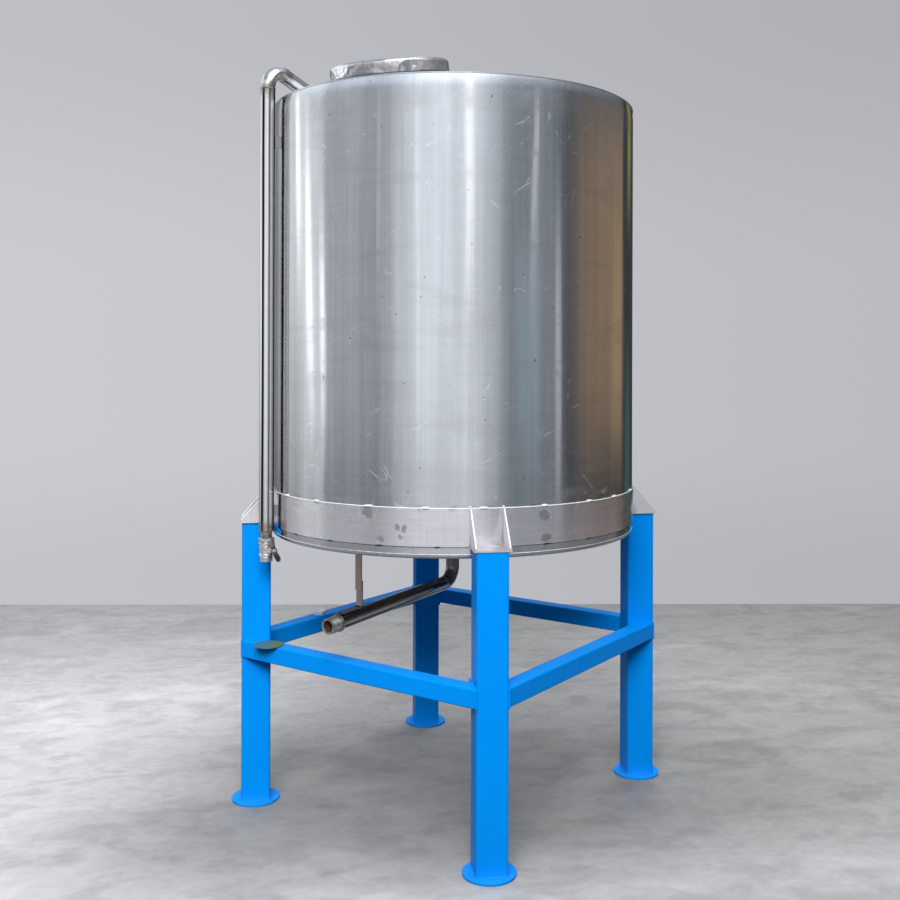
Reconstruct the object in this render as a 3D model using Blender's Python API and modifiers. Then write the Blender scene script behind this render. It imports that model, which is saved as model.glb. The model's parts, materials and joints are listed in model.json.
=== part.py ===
"""Vertical storage tank of about 2000 litres on a four-leg stand.

A stainless shell with a conical roof and a conical bottom stands on four square legs, which are tied
together by cross-beams. A filling pipe with a ball valve runs up its left side and over into the roof, a
lift-off lid closes the manhole, and an outlet pipe leads from the middle of the bottom to the front left.

Units are metres. +Z is up, +Y points away from the viewer, +X to the right. The origin is on the floor, on
the axis of the tank.
"""

from math import cos, pi, radians, sin, sqrt, tan

import bmesh
import bpy
from mathutils import Matrix, Vector

# Fits
GAP = 0.0003
ROUND_STEPS = 96
PIPE_STEPS = 32
SMALL_STEPS = 48
STRAIGHT_LEAD = 0.004

# Tank shell
TANK_RADIUS = 0.650
SHEET = 0.003
WALL_BOTTOM = 0.958
WALL_TOP = 2.4425
ROOF_SLOPE = radians(10.8)
BOTTOM_SLOPE = radians(9.0)
KNUCKLE_RADIUS = 0.012
KNUCKLE_STEPS = 4
BOTTOM_LIP = 0.002
BAND_THICKNESS = 0.003
BAND_BOTTOM = 0.981
BAND_TOP = 1.100

# Stand
LEG_SIZE = 0.100
LEG_CORNER = 0.008
LEG_TOP = 0.982
LEG_CENTRE = 0.704
FOOT_RADIUS = 0.0835
FOOT_THICKNESS = 0.008
BEAM_SIZE = 0.060
BEAM_CORNER = 0.005
BEAM_TOP = 0.573
LEG_ANGLES = {"front": radians(-90), "right": radians(0), "back": radians(90), "left": radians(180)}
BEAM_ANGLES = {
    "front_right": radians(-45),
    "back_right": radians(45),
    "back_left": radians(135),
    "front_left": radians(-135),
}

# Brackets between the legs and the reinforcement band
BRACKET_WIDTH = 0.116
BRACKET_THICKNESS = 0.005
BRACKET_OVERHANG = 0.003
GUSSET_OFFSET = 0.0525
GUSSET_THICKNESS = 0.005
GUSSET_TOE = 0.006
GUSSET_TOP_WIDTH = 0.012

# Manhole
MANHOLE_X = -0.270
MANHOLE_Y = -0.340
NECK_RADIUS = 0.182
NECK_SHEET = 0.003
NECK_BELOW = 0.025
NECK_ABOVE = 0.046
LID_RADIUS = 0.198
LID_SHEET = 0.0025
LID_CORNER = 0.015
LID_CORNER_STEPS = 5
LID_CLEARANCE = 0.005

# Filling pipe
PIPE_RADIUS = 0.0255
PIPE_X = -0.670
PIPE_Y = -0.150
PIPE_BOTTOM = 0.969
PIPE_TOP = 2.479
INLET_BEND_RADIUS = 0.060
INLET_BEND_ANGLE = radians(107)
INLET_HEADING = radians(45)
INLET_RUN = 0.285
CLIP_THICKNESS = 0.006
CLIP_HEIGHT = 0.040
CLIP_LEVELS = {"lower": 1.035, "upper": 2.300}

# Ball valve under the filling pipe
NIPPLE_RADIUS = 0.0195
VALVE_TOP = 0.946
HEX_ACROSS_FLATS = 0.048
HEX_BOTTOM = 0.936
VALVE_SPLIT = 0.9235
VALVE_NECK_RADIUS = 0.0235
VALVE_RING_RADIUS = 0.0275
VALVE_RING_HEIGHT = 0.008
VALVE_BODY_RADIUS = 0.024
VALVE_FLARE_RADIUS = 0.026
VALVE_FLARE_LEVEL = 0.888
VALVE_COLLAR_TOP = 0.884
VALVE_COLLAR_RADIUS = 0.0215
VALVE_BOTTOM = 0.866
VALVE_BORE_RADIUS = 0.016
VALVE_BORE_DEPTH = 0.022
STEM_LEVEL = 0.905
STEM_HEADING = radians(-45)
STEM_BOSS_RADIUS = 0.0125
STEM_BOSS_REACH = 0.032
STEM_RADIUS = 0.005
STEM_NUT_RADIUS = 0.0095
STEM_END = 0.048
HANDLE_SEAT = 0.0345
HANDLE_SHEET = 0.003
HANDLE_LENGTH = 0.086
HANDLE_WIDTH = 0.021
HANDLE_FLAT = 0.014
HANDLE_BEND = radians(17)
HANDLE_REST = radians(25)

# Outlet pipe under the tank
OUTLET_RADIUS = 0.024
OUTLET_HEADING = radians(-135)
OUTLET_FALL = radians(3)
OUTLET_START = 0.8475
OUTLET_BEND_TOP = 0.802
OUTLET_BEND_RADIUS = 0.057
OUTLET_RUN = 0.565
OUTLET_NIPPLE_LENGTH = 0.052
OUTLET_NIPPLE_RADIUS = 0.026
OUTLET_RIM_RADIUS = 0.0285
OUTLET_RIM_LENGTH = 0.005
OUTLET_BORE_RADIUS = 0.019

# Strap hanger of the outlet pipe
HANGER_REACH = 0.5236
HANGER_WIDTH = 0.025
HANGER_THICKNESS = 0.005
HANGER_LAP_LOW = 0.802
HANGER_LAP_HIGH = 0.834
HANGER_FOOT = 0.086
HANGER_BEND_RADIUS = 0.010
HANGER_BEND_STEPS = 5

# Loose pieces lying on the cross-beams
PLATE_X = -0.661
PLATE_Y = -0.135
PLATE_RADIUS = 0.050
PLATE_THICKNESS = 0.004
PLUG_X = -0.471
PLUG_Y = 0.289
PLUG_TOP_RADIUS = 0.025
PLUG_BOTTOM_RADIUS = 0.021
PLUG_HEIGHT = 0.016

# Sizes that follow from the driving dimensions
ROOF_EDGE = WALL_TOP + GAP
BAND_RADIUS = TANK_RADIUS + GAP + BAND_THICKNESS
BRACKET_LOW = LEG_TOP + GAP
BRACKET_HIGH = BRACKET_LOW + BRACKET_THICKNESS
BRACKET_OUTER = LEG_CENTRE + LEG_SIZE / 2 + BRACKET_OVERHANG
BEAM_OUTER = (LEG_CENTRE + LEG_SIZE) / sqrt(2)


def clear_scene():
    """Remove whatever the scene holds."""
    for item in list(bpy.data.objects):
        bpy.data.objects.remove(item, do_unlink=True)


def new_collection(name):
    """Add a collection to the scene."""
    collection = bpy.data.collections.new(name)
    bpy.context.scene.collection.children.link(collection)
    return collection


def new_material(name, colour, roughness, metallic):
    """Make a plain Principled material."""
    material = bpy.data.materials.new(name)
    material.use_nodes = True
    shader = material.node_tree.nodes["Principled BSDF"]
    shader.inputs["Base Color"].default_value = (*colour, 1.0)
    shader.inputs["Roughness"].default_value = roughness
    shader.inputs["Metallic"].default_value = metallic
    return material


clear_scene()
TANK = new_collection("storage_tank")
CUTTERS = new_collection("cutters")
STEEL = new_material("stainless_sheet", (0.66, 0.66, 0.67), 0.28, 1.0)
TUBE = new_material("polished_tube", (0.70, 0.69, 0.68), 0.12, 1.0)
CAST = new_material("cast_stainless", (0.55, 0.53, 0.51), 0.42, 1.0)
PAINT = new_material("blue_paint", (0.005, 0.27, 0.90), 0.38, 0.0)
OLIVE = new_material("olive_steel", (0.20, 0.22, 0.16), 0.50, 0.6)
PLASTIC = new_material("clear_plastic", (0.72, 0.74, 0.76), 0.35, 0.0)


def add_object(name, mesh, material, matrix=None, collection=TANK):
    """Put a mesh in the scene as a named object."""
    item = bpy.data.objects.new(name, mesh)
    collection.objects.link(item)
    item.data.materials.append(material)
    if matrix is not None:
        item.matrix_world = matrix
    return item


def mesh_from_bmesh(name, shape):
    """Turn a bmesh into a mesh with its faces pointing out."""
    bmesh.ops.recalc_face_normals(shape, faces=shape.faces)
    mesh = bpy.data.meshes.new(name)
    shape.to_mesh(mesh)
    shape.free()
    return mesh


def smooth(item, angle=radians(35)):
    """Shade an object smooth, with sharp edges above an angle."""
    item.data.shade_smooth()
    item.data.set_sharp_from_angle(angle=angle)


def modified_mesh(item):
    """Return a new mesh of an object as its modifiers leave it."""
    bpy.context.view_layer.update()
    graph = bpy.context.evaluated_depsgraph_get()
    return bpy.data.meshes.new_from_object(item.evaluated_get(graph))


def turned(name, profile, material, steps=ROUND_STEPS, matrix=None, ring=False, collection=TANK):
    """Turn a profile of (radius, height) points about the local Z axis.

    The profile runs down its outer side from the top. A ring's profile is joined back to its first point,
    and any other profile starts and ends on the axis.
    """
    shape = bmesh.new()
    points = [shape.verts.new((radius, 0.0, height)) for radius, height in profile]
    for first, second in zip(points, points[1:]):
        shape.edges.new((first, second))
    if ring:
        shape.edges.new((points[-1], points[0]))
    mesh = bpy.data.meshes.new(name)
    shape.to_mesh(mesh)
    shape.free()
    draft = bpy.data.objects.new(name + "_profile", mesh)
    bpy.context.scene.collection.objects.link(draft)
    screw = draft.modifiers.new("turn", "SCREW")
    screw.angle = 2 * pi
    screw.steps = steps
    screw.render_steps = steps
    screw.use_merge_vertices = True
    screw.merge_threshold = 0.0001
    solid = modified_mesh(draft)
    bpy.data.objects.remove(draft, do_unlink=True)
    shape = bmesh.new()
    shape.from_mesh(solid)
    bpy.data.meshes.remove(solid)
    item = add_object(name, mesh_from_bmesh(name, shape), material, matrix, collection)
    smooth(item)
    return item


def rod(name, radius, low, high, material, steps=PIPE_STEPS, matrix=None, collection=TANK):
    """Add a straight round bar along the local Z axis."""
    shape = bmesh.new()
    bmesh.ops.create_cone(
        shape,
        cap_ends=True,
        segments=steps,
        radius1=radius,
        radius2=radius,
        depth=high - low,
        matrix=Matrix.Translation((0, 0, (low + high) / 2)),
    )
    item = add_object(name, mesh_from_bmesh(name, shape), material, matrix, collection)
    smooth(item)
    return item


def block(name, size, material, matrix, collection=TANK):
    """Add a box centred on its own origin."""
    shape = bmesh.new()
    bmesh.ops.create_cube(shape, size=1.0, matrix=Matrix.Diagonal((*size, 1.0)))
    return add_object(name, mesh_from_bmesh(name, shape), material, matrix, collection)


def extruded(name, outline, low, high, material, matrix=None, collection=TANK):
    """Extrude a flat outline in the local XY plane from one height to another."""
    curve = bpy.data.curves.new(name + "_outline", "CURVE")
    curve.dimensions = "2D"
    curve.fill_mode = "BOTH"
    curve.extrude = (high - low) / 2
    spline = curve.splines.new("POLY")
    spline.points.add(len(outline) - 1)
    for point, (x, y) in zip(spline.points, outline):
        point.co = (x, y, 0.0, 1.0)
    spline.use_cyclic_u = True
    draft = bpy.data.objects.new(name + "_outline", curve)
    bpy.context.scene.collection.objects.link(draft)
    flat = modified_mesh(draft)
    bpy.data.objects.remove(draft, do_unlink=True)
    shape = bmesh.new()
    shape.from_mesh(flat)
    bpy.data.meshes.remove(flat)
    bmesh.ops.remove_doubles(shape, verts=shape.verts, dist=0.00001)
    bmesh.ops.translate(shape, verts=shape.verts, vec=(0, 0, (low + high) / 2))
    item = add_object(name, mesh_from_bmesh(name, shape), material, matrix, collection)
    smooth(item)
    return item


def pipe(name, route, radius, material):
    """Run a solid round pipe along a list of points."""
    curve = bpy.data.curves.new(name + "_route", "CURVE")
    curve.dimensions = "3D"
    curve.bevel_depth = radius
    curve.bevel_resolution = 6
    curve.use_fill_caps = True
    spline = curve.splines.new("POLY")
    spline.points.add(len(route) - 1)
    for point, place in zip(spline.points, route):
        point.co = (*place, 1.0)
    draft = bpy.data.objects.new(name + "_route", curve)
    bpy.context.scene.collection.objects.link(draft)
    tube = modified_mesh(draft)
    bpy.data.objects.remove(draft, do_unlink=True)
    shape = bmesh.new()
    shape.from_mesh(tube)
    bpy.data.meshes.remove(tube)
    bmesh.ops.remove_doubles(shape, verts=shape.verts, dist=0.00001)
    item = add_object(name, mesh_from_bmesh(name, shape), material)
    smooth(item, radians(60))
    return item


def combine(item, other, operation):
    """Cut, join or intersect an object with a cutter, and keep the result as its mesh."""
    change = item.modifiers.new(operation.lower(), "BOOLEAN")
    change.object = other
    change.operation = operation
    change.solver = "EXACT"
    result = modified_mesh(item)
    item.modifiers.remove(change)
    item.data = result
    bpy.data.objects.remove(other, do_unlink=True)
    smooth(item)


def arc(centre, radius, start, end, steps):
    """List the points of an arc, from one angle to another."""
    angles = [start + (end - start) * step / steps for step in range(steps + 1)]
    return [(centre[0] + radius * cos(angle), centre[1] + radius * sin(angle)) for angle in angles]


def rounded_square(size, corner, steps=3):
    """Outline of a square tube's section with rounded corners."""
    inset = size / 2 - corner
    corners = [(inset, inset, 0), (-inset, inset, 90), (-inset, -inset, 180), (inset, -inset, 270)]
    outline = []
    for x, y, start in corners:
        outline += arc((x, y), corner, radians(start), radians(start + 90), steps)
    return outline


def heading(angle):
    """Horizontal unit vector at an angle from +X."""
    return Vector((cos(angle), sin(angle), 0.0))


def frame_matrix(origin, x_axis, y_axis, z_axis):
    """Matrix that takes the local axes to three given directions at an origin."""
    matrix = Matrix.Identity(4)
    for column, axis in enumerate((x_axis, y_axis, z_axis)):
        for row in range(3):
            matrix[row][column] = axis[row]
    matrix.translation = origin
    return matrix


def along(origin, direction):
    """Matrix whose local Z axis runs along a direction."""
    rotation = Vector((0, 0, 1)).rotation_difference(direction)
    return Matrix.Translation(origin) @ rotation.to_matrix().to_4x4()


def roof_height(radius):
    """Height of the roof's outer face at a distance from the tank's axis."""
    return ROOF_EDGE + SHEET + (TANK_RADIUS - radius) * tan(ROOF_SLOPE)


def bend(start, first, second, radius, angle, steps):
    """Points of a bend that leaves a start along one direction and turns towards another."""
    angles = [angle * step / steps for step in range(steps + 1)]
    return [start + first * radius * sin(turn) + second * radius * (1 - cos(turn)) for turn in angles]


def manhole_matrix():
    """Frame of the manhole: its origin on the roof's outer face and Z square to the roof."""
    radius = sqrt(MANHOLE_X**2 + MANHOLE_Y**2)
    outward = Vector((MANHOLE_X, MANHOLE_Y, 0.0)) / radius
    normal = outward * sin(ROOF_SLOPE) + Vector((0, 0, 1)) * cos(ROOF_SLOPE)
    side = Vector((-outward.y, outward.x, 0.0))
    origin = Vector((MANHOLE_X, MANHOLE_Y, roof_height(radius)))
    return frame_matrix(origin, side.cross(normal), side, normal)


def inlet_route():
    """Points of the filling pipe's bend and of its run into the roof."""
    start = Vector((PIPE_X, PIPE_Y, PIPE_TOP + GAP))
    inward = heading(INLET_HEADING)
    up = Vector((0, 0, 1))
    lead = start + up * STRAIGHT_LEAD
    route = [start] + bend(lead, up, inward, INLET_BEND_RADIUS, INLET_BEND_ANGLE, 14)
    run = up * cos(INLET_BEND_ANGLE) + inward * sin(INLET_BEND_ANGLE)
    route.append(route[-1] + run * INLET_RUN)
    return route, run


def build_shell():
    """Wall, roof, bottom and reinforcement band of the tank."""
    inner = TANK_RADIUS - SHEET
    wall = [(TANK_RADIUS, WALL_TOP), (TANK_RADIUS, WALL_BOTTOM), (inner, WALL_BOTTOM), (inner, WALL_TOP)]
    turned("tank_wall", wall, STEEL, ring=True)

    drop = SHEET / cos(ROOF_SLOPE)
    roof = turned(
        "tank_roof",
        [
            (0.0, roof_height(0.0)),
            (TANK_RADIUS, roof_height(TANK_RADIUS)),
            (TANK_RADIUS, ROOF_EDGE),
            (0.0, roof_height(0.0) - drop),
        ],
        STEEL,
    )
    neck_hole = rod(
        "neck_hole", NECK_RADIUS + GAP, -0.1, 0.1, STEEL, ROUND_STEPS, manhole_matrix(), CUTTERS
    )
    combine(roof, neck_hole, "DIFFERENCE")
    route, run = inlet_route()
    pipe_hole = rod(
        "pipe_hole", PIPE_RADIUS + 2 * GAP, 0.05, 0.40, STEEL, SMALL_STEPS, along(route[-2], run), CUTTERS
    )
    combine(roof, pipe_hole, "DIFFERENCE")

    turned("tank_bottom", bottom_profile(), STEEL, ring=True)

    low = TANK_RADIUS + GAP
    band = [(BAND_RADIUS, BAND_TOP), (BAND_RADIUS, BAND_BOTTOM), (low, BAND_BOTTOM), (low, BAND_TOP)]
    turned("reinforcement_band", band, STEEL, ring=True)


def bottom_profile():
    """Profile of the bottom: a short lip, a knuckle and a shallow cone down to the outlet."""
    top = WALL_BOTTOM - GAP
    centre = (TANK_RADIUS - KNUCKLE_RADIUS, top - BOTTOM_LIP)
    turn = pi / 2 - BOTTOM_SLOPE
    outer = [(TANK_RADIUS, top)] + arc(centre, KNUCKLE_RADIUS, 0.0, -turn, KNUCKLE_STEPS)
    inner = arc(centre, KNUCKLE_RADIUS - SHEET, -turn, 0.0, KNUCKLE_STEPS) + [(TANK_RADIUS - SHEET, top)]
    hole = OUTLET_RADIUS + GAP
    outer.append((hole, outer[-1][1] - (outer[-1][0] - hole) * tan(BOTTOM_SLOPE)))
    inner.insert(0, (hole, inner[0][1] - (inner[0][0] - hole) * tan(BOTTOM_SLOPE)))
    return outer + inner


def bottom_height(radius):
    """Height of the bottom's outer face at a distance from the tank's axis."""
    knuckle_end = bottom_profile()[KNUCKLE_STEPS + 1]
    return knuckle_end[1] - (knuckle_end[0] - radius) * tan(BOTTOM_SLOPE)


def build_stand():
    """Four legs on round feet, four cross-beams and the brackets that carry the tank."""
    section = rounded_square(LEG_SIZE, LEG_CORNER)
    for side, angle in LEG_ANGLES.items():
        place = Matrix.Rotation(angle, 4, "Z") @ Matrix.Translation((LEG_CENTRE, 0, 0))
        extruded("leg_" + side, section, FOOT_THICKNESS + GAP, LEG_TOP, PAINT, place)
        foot = [
            (0.0, FOOT_THICKNESS),
            (FOOT_RADIUS - 0.001, FOOT_THICKNESS),
            (FOOT_RADIUS, FOOT_THICKNESS - 0.001),
            (FOOT_RADIUS, 0.0),
            (0.0, 0.0),
        ]
        turned("foot_plate_" + side, foot, PAINT, SMALL_STEPS, place)
        build_bracket(side, angle)
    for side, angle in BEAM_ANGLES.items():
        build_beam("cross_beam_" + side, angle)


def build_bracket(side, angle):
    """Plate on top of a leg, with a gusset at each side up to the top of the band."""
    turn = Matrix.Rotation(angle, 4, "Z")
    half = BRACKET_WIDTH / 2
    inner = BAND_RADIUS + GAP
    reach = sqrt(inner**2 - half**2)
    sweep = pi / 2 - Vector((reach, half)).angle(Vector((0.0, 1.0)))
    outline = [(BRACKET_OUTER, -half), (BRACKET_OUTER, half)] + arc((0, 0), inner, sweep, -sweep, 6)
    extruded("bracket_plate_" + side, outline, BRACKET_LOW, BRACKET_HIGH, STEEL, turn)

    near = GUSSET_OFFSET - GUSSET_THICKNESS / 2
    foot = sqrt(BAND_RADIUS**2 - near**2) + GAP
    low = BRACKET_HIGH + GAP
    profile = [
        (foot, low),
        (BRACKET_OUTER, low),
        (BRACKET_OUTER, low + GUSSET_TOE),
        (foot + GUSSET_TOP_WIDTH, BAND_TOP),
        (foot, BAND_TOP),
    ]
    upright = frame_matrix(Vector((0, 0, 0)), Vector((1, 0, 0)), Vector((0, 0, 1)), Vector((0, -1, 0)))
    for hand, offset in (("a", GUSSET_OFFSET), ("b", -GUSSET_OFFSET)):
        place = turn @ Matrix.Translation((0, offset, 0)) @ upright
        half_sheet = GUSSET_THICKNESS / 2
        extruded(f"bracket_gusset_{side}_{hand}", profile, -half_sheet, half_sheet, STEEL, place)


def build_beam(name, angle):
    """Square cross-beam between two legs, its ends cut to lie against them."""
    centre = BEAM_OUTER - BEAM_SIZE / 2
    reach = centre - (LEG_SIZE / 2 + GAP) * sqrt(2)
    section = rounded_square(BEAM_SIZE, BEAM_CORNER)
    lengthways = frame_matrix(
        heading(angle) * centre + Vector((0, 0, BEAM_TOP - BEAM_SIZE / 2)),
        heading(angle),
        Vector((0, 0, 1)),
        heading(angle).cross(Vector((0, 0, 1))),
    )
    beam = extruded(name, section, -reach, reach, PAINT, lengthways)
    for vertex in beam.data.vertices:
        vertex.co.z += vertex.co.x if vertex.co.z > 0 else -vertex.co.x


def build_manhole():
    """Manhole neck through the roof and the lift-off lid on it."""
    place = manhole_matrix()
    inner = NECK_RADIUS - NECK_SHEET
    neck = [(NECK_RADIUS, NECK_ABOVE), (NECK_RADIUS, -NECK_BELOW), (inner, -NECK_BELOW), (inner, NECK_ABOVE)]
    turned("manhole_neck", neck, STEEL, matrix=place, ring=True)

    under = NECK_ABOVE + GAP
    top = under + LID_SHEET
    corner = (LID_RADIUS - LID_CORNER, top - LID_CORNER)
    outer = arc(corner, LID_CORNER, pi / 2, 0.0, LID_CORNER_STEPS)
    inner = arc(corner, LID_CORNER - LID_SHEET, 0.0, pi / 2, LID_CORNER_STEPS)
    edge = [(LID_RADIUS, LID_CLEARANCE), (LID_RADIUS - LID_SHEET, LID_CLEARANCE)]
    lid = [(0.0, top)] + outer + edge + inner + [(0.0, under)]
    turned("manhole_lid", lid, STEEL, matrix=place)


def build_inlet():
    """Filling pipe up the side of the tank and over into the roof, with its clips."""
    place = Matrix.Translation((PIPE_X, PIPE_Y, 0))
    rod("inlet_riser", PIPE_RADIUS, PIPE_BOTTOM, PIPE_TOP, TUBE, matrix=place)
    route, _ = inlet_route()
    pipe("inlet_bend", route, PIPE_RADIUS, TUBE)
    rod("inlet_nipple", NIPPLE_RADIUS, VALVE_TOP + GAP, PIPE_BOTTOM - GAP, CAST, matrix=place)

    axis = Vector((PIPE_X, PIPE_Y, 0.0))
    outward = axis.normalized()
    side = Vector((-outward.y, outward.x, 0.0))
    carriers = {"lower": BAND_RADIUS, "upper": TANK_RADIUS}
    for name, level in CLIP_LEVELS.items():
        start = carriers[name] + GAP
        end = axis.length - PIPE_RADIUS - GAP
        middle = outward * ((start + end) / 2) + Vector((0, 0, level))
        place = frame_matrix(middle, outward, side, Vector((0, 0, 1)))
        block("inlet_clip_" + name, (end - start, CLIP_THICKNESS, CLIP_HEIGHT), STEEL, place)


def build_valve():
    """Two-piece ball valve with a butterfly handle."""
    place = Matrix.Translation((PIPE_X, PIPE_Y, 0))
    ring_low = VALVE_SPLIT + GAP
    ring_high = ring_low + VALVE_RING_HEIGHT
    end_piece = turned(
        "valve_end_piece",
        [
            (0.0, HEX_BOTTOM + 0.001),
            (VALVE_NECK_RADIUS, HEX_BOTTOM + 0.001),
            (VALVE_NECK_RADIUS, ring_high + 0.002),
            (VALVE_RING_RADIUS - 0.001, ring_high),
            (VALVE_RING_RADIUS, ring_high - 0.001),
            (VALVE_RING_RADIUS, ring_low + 0.001),
            (VALVE_RING_RADIUS - 0.001, ring_low),
            (0.0, ring_low),
        ],
        CAST,
        SMALL_STEPS,
        place,
    )
    hexagon = arc((0, 0), HEX_ACROSS_FLATS / 2 / cos(pi / 6), 0.0, 2 * pi, 6)[:-1]
    nut = extruded("valve_hex", hexagon, HEX_BOTTOM, VALVE_TOP, CAST, place, CUTTERS)
    combine(end_piece, nut, "UNION")

    body = turned(
        "valve_body",
        [
            (0.0, VALVE_SPLIT),
            (VALVE_BODY_RADIUS - 0.002, VALVE_SPLIT),
            (VALVE_BODY_RADIUS - 0.002, VALVE_SPLIT - 0.003),
            (VALVE_BODY_RADIUS, VALVE_SPLIT - 0.005),
            (VALVE_BODY_RADIUS, VALVE_FLARE_LEVEL + 0.004),
            (VALVE_FLARE_RADIUS, VALVE_FLARE_LEVEL + 0.001),
            (VALVE_FLARE_RADIUS, VALVE_FLARE_LEVEL - 0.001),
            (VALVE_COLLAR_RADIUS - 0.001, VALVE_COLLAR_TOP),
            (VALVE_COLLAR_RADIUS, VALVE_COLLAR_TOP - 0.002),
            (VALVE_COLLAR_RADIUS, VALVE_BOTTOM),
            (VALVE_BORE_RADIUS, VALVE_BOTTOM),
            (VALVE_BORE_RADIUS, VALVE_BOTTOM + VALVE_BORE_DEPTH),
            (0.0, VALVE_BOTTOM + VALVE_BORE_DEPTH),
        ],
        CAST,
        SMALL_STEPS,
        place,
    )
    stem_place = along(Vector((PIPE_X, PIPE_Y, STEM_LEVEL)), heading(STEM_HEADING))
    boss = rod(
        "stem_boss", STEM_BOSS_RADIUS, 0.005, STEM_BOSS_REACH, CAST, PIPE_STEPS, stem_place, CUTTERS
    )
    combine(body, boss, "UNION")

    turned(
        "valve_stem",
        [
            (0.0, STEM_END),
            (STEM_RADIUS, STEM_END - 0.001),
            (STEM_RADIUS, STEM_END - 0.004),
            (STEM_NUT_RADIUS, STEM_END - 0.0045),
            (STEM_NUT_RADIUS, HANDLE_SEAT + HANDLE_SHEET + GAP),
            (STEM_RADIUS, HANDLE_SEAT + HANDLE_SHEET + GAP),
            (STEM_RADIUS, STEM_BOSS_REACH + GAP),
            (0.0, STEM_BOSS_REACH + GAP),
        ],
        CAST,
        PIPE_STEPS,
        stem_place,
    )
    build_handle()


def handle_profile():
    """Side outline of the handle: flat at the stem, with both wings bent outwards."""
    half = HANDLE_LENGTH / 2
    rise = (half - HANDLE_FLAT) * tan(HANDLE_BEND)
    low = HANDLE_SEAT
    high = HANDLE_SEAT + HANDLE_SHEET
    return [
        (-half, low + rise),
        (-HANDLE_FLAT, low),
        (HANDLE_FLAT, low),
        (half, low + rise),
        (half, high + rise),
        (HANDLE_FLAT, high),
        (-HANDLE_FLAT, high),
        (-half, high + rise),
    ]


def build_handle():
    """Butterfly handle: a bent strip with round ends and a hole for the stem."""
    outward = heading(STEM_HEADING)
    inward = heading(INLET_HEADING)
    lower_wing = inward * sin(HANDLE_REST) - Vector((0, 0, 1)) * cos(HANDLE_REST)
    across = outward.cross(lower_wing)
    origin = Vector((PIPE_X, PIPE_Y, STEM_LEVEL))
    side_on = frame_matrix(origin, lower_wing, outward, lower_wing.cross(outward))
    handle = extruded("valve_handle", handle_profile(), -HANDLE_WIDTH, HANDLE_WIDTH, CAST, side_on)

    straight = HANDLE_LENGTH / 2 - HANDLE_WIDTH / 2
    right_end = arc((straight, 0), HANDLE_WIDTH / 2, -pi / 2, pi / 2, 8)
    left_end = arc((-straight, 0), HANDLE_WIDTH / 2, pi / 2, 3 * pi / 2, 8)
    face_on = frame_matrix(origin, lower_wing, across, outward)
    blank = extruded("handle_blank", right_end + left_end, 0.02, 0.08, CAST, face_on, CUTTERS)
    combine(handle, blank, "INTERSECT")
    hole = rod("handle_hole", STEM_RADIUS + GAP, 0.02, 0.06, CAST, PIPE_STEPS, face_on, CUTTERS)
    combine(handle, hole, "DIFFERENCE")


def outlet_route():
    """Points of the outlet pipe's bend and the direction of its straight run."""
    away = heading(OUTLET_HEADING)
    down = Vector((0, 0, -1))
    start = Vector((0, 0, OUTLET_BEND_TOP))
    turn = pi / 2 - OUTLET_FALL
    route = bend(start, down, away, OUTLET_BEND_RADIUS, turn, 10)
    run = down * cos(turn) + away * sin(turn)
    route.append(route[-1] + run * STRAIGHT_LEAD)
    return route, run


def build_outlet():
    """Outlet bend under the middle of the tank, its run and the threaded nipple at the end."""
    route, run = outlet_route()
    pipe("outlet_bend", [Vector((0, 0, OUTLET_START))] + route, OUTLET_RADIUS, TUBE)
    start = route[-1] + run * GAP
    rod("outlet_run", OUTLET_RADIUS, 0.0, OUTLET_RUN, TUBE, matrix=along(start, run))
    nipple_start = start + run * (OUTLET_RUN + GAP)
    nipple = [
        (OUTLET_NIPPLE_RADIUS, OUTLET_NIPPLE_LENGTH - 0.001),
        (OUTLET_NIPPLE_RADIUS, OUTLET_RIM_LENGTH + 0.002),
        (OUTLET_RIM_RADIUS, OUTLET_RIM_LENGTH),
        (OUTLET_RIM_RADIUS, 0.0),
        (OUTLET_BORE_RADIUS, 0.0),
        (OUTLET_BORE_RADIUS, OUTLET_NIPPLE_LENGTH),
        (OUTLET_NIPPLE_RADIUS - 0.001, OUTLET_NIPPLE_LENGTH),
    ]
    turned("outlet_nipple", nipple, CAST, SMALL_STEPS, along(nipple_start, run), ring=True)
    build_hanger(start, run)


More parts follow.
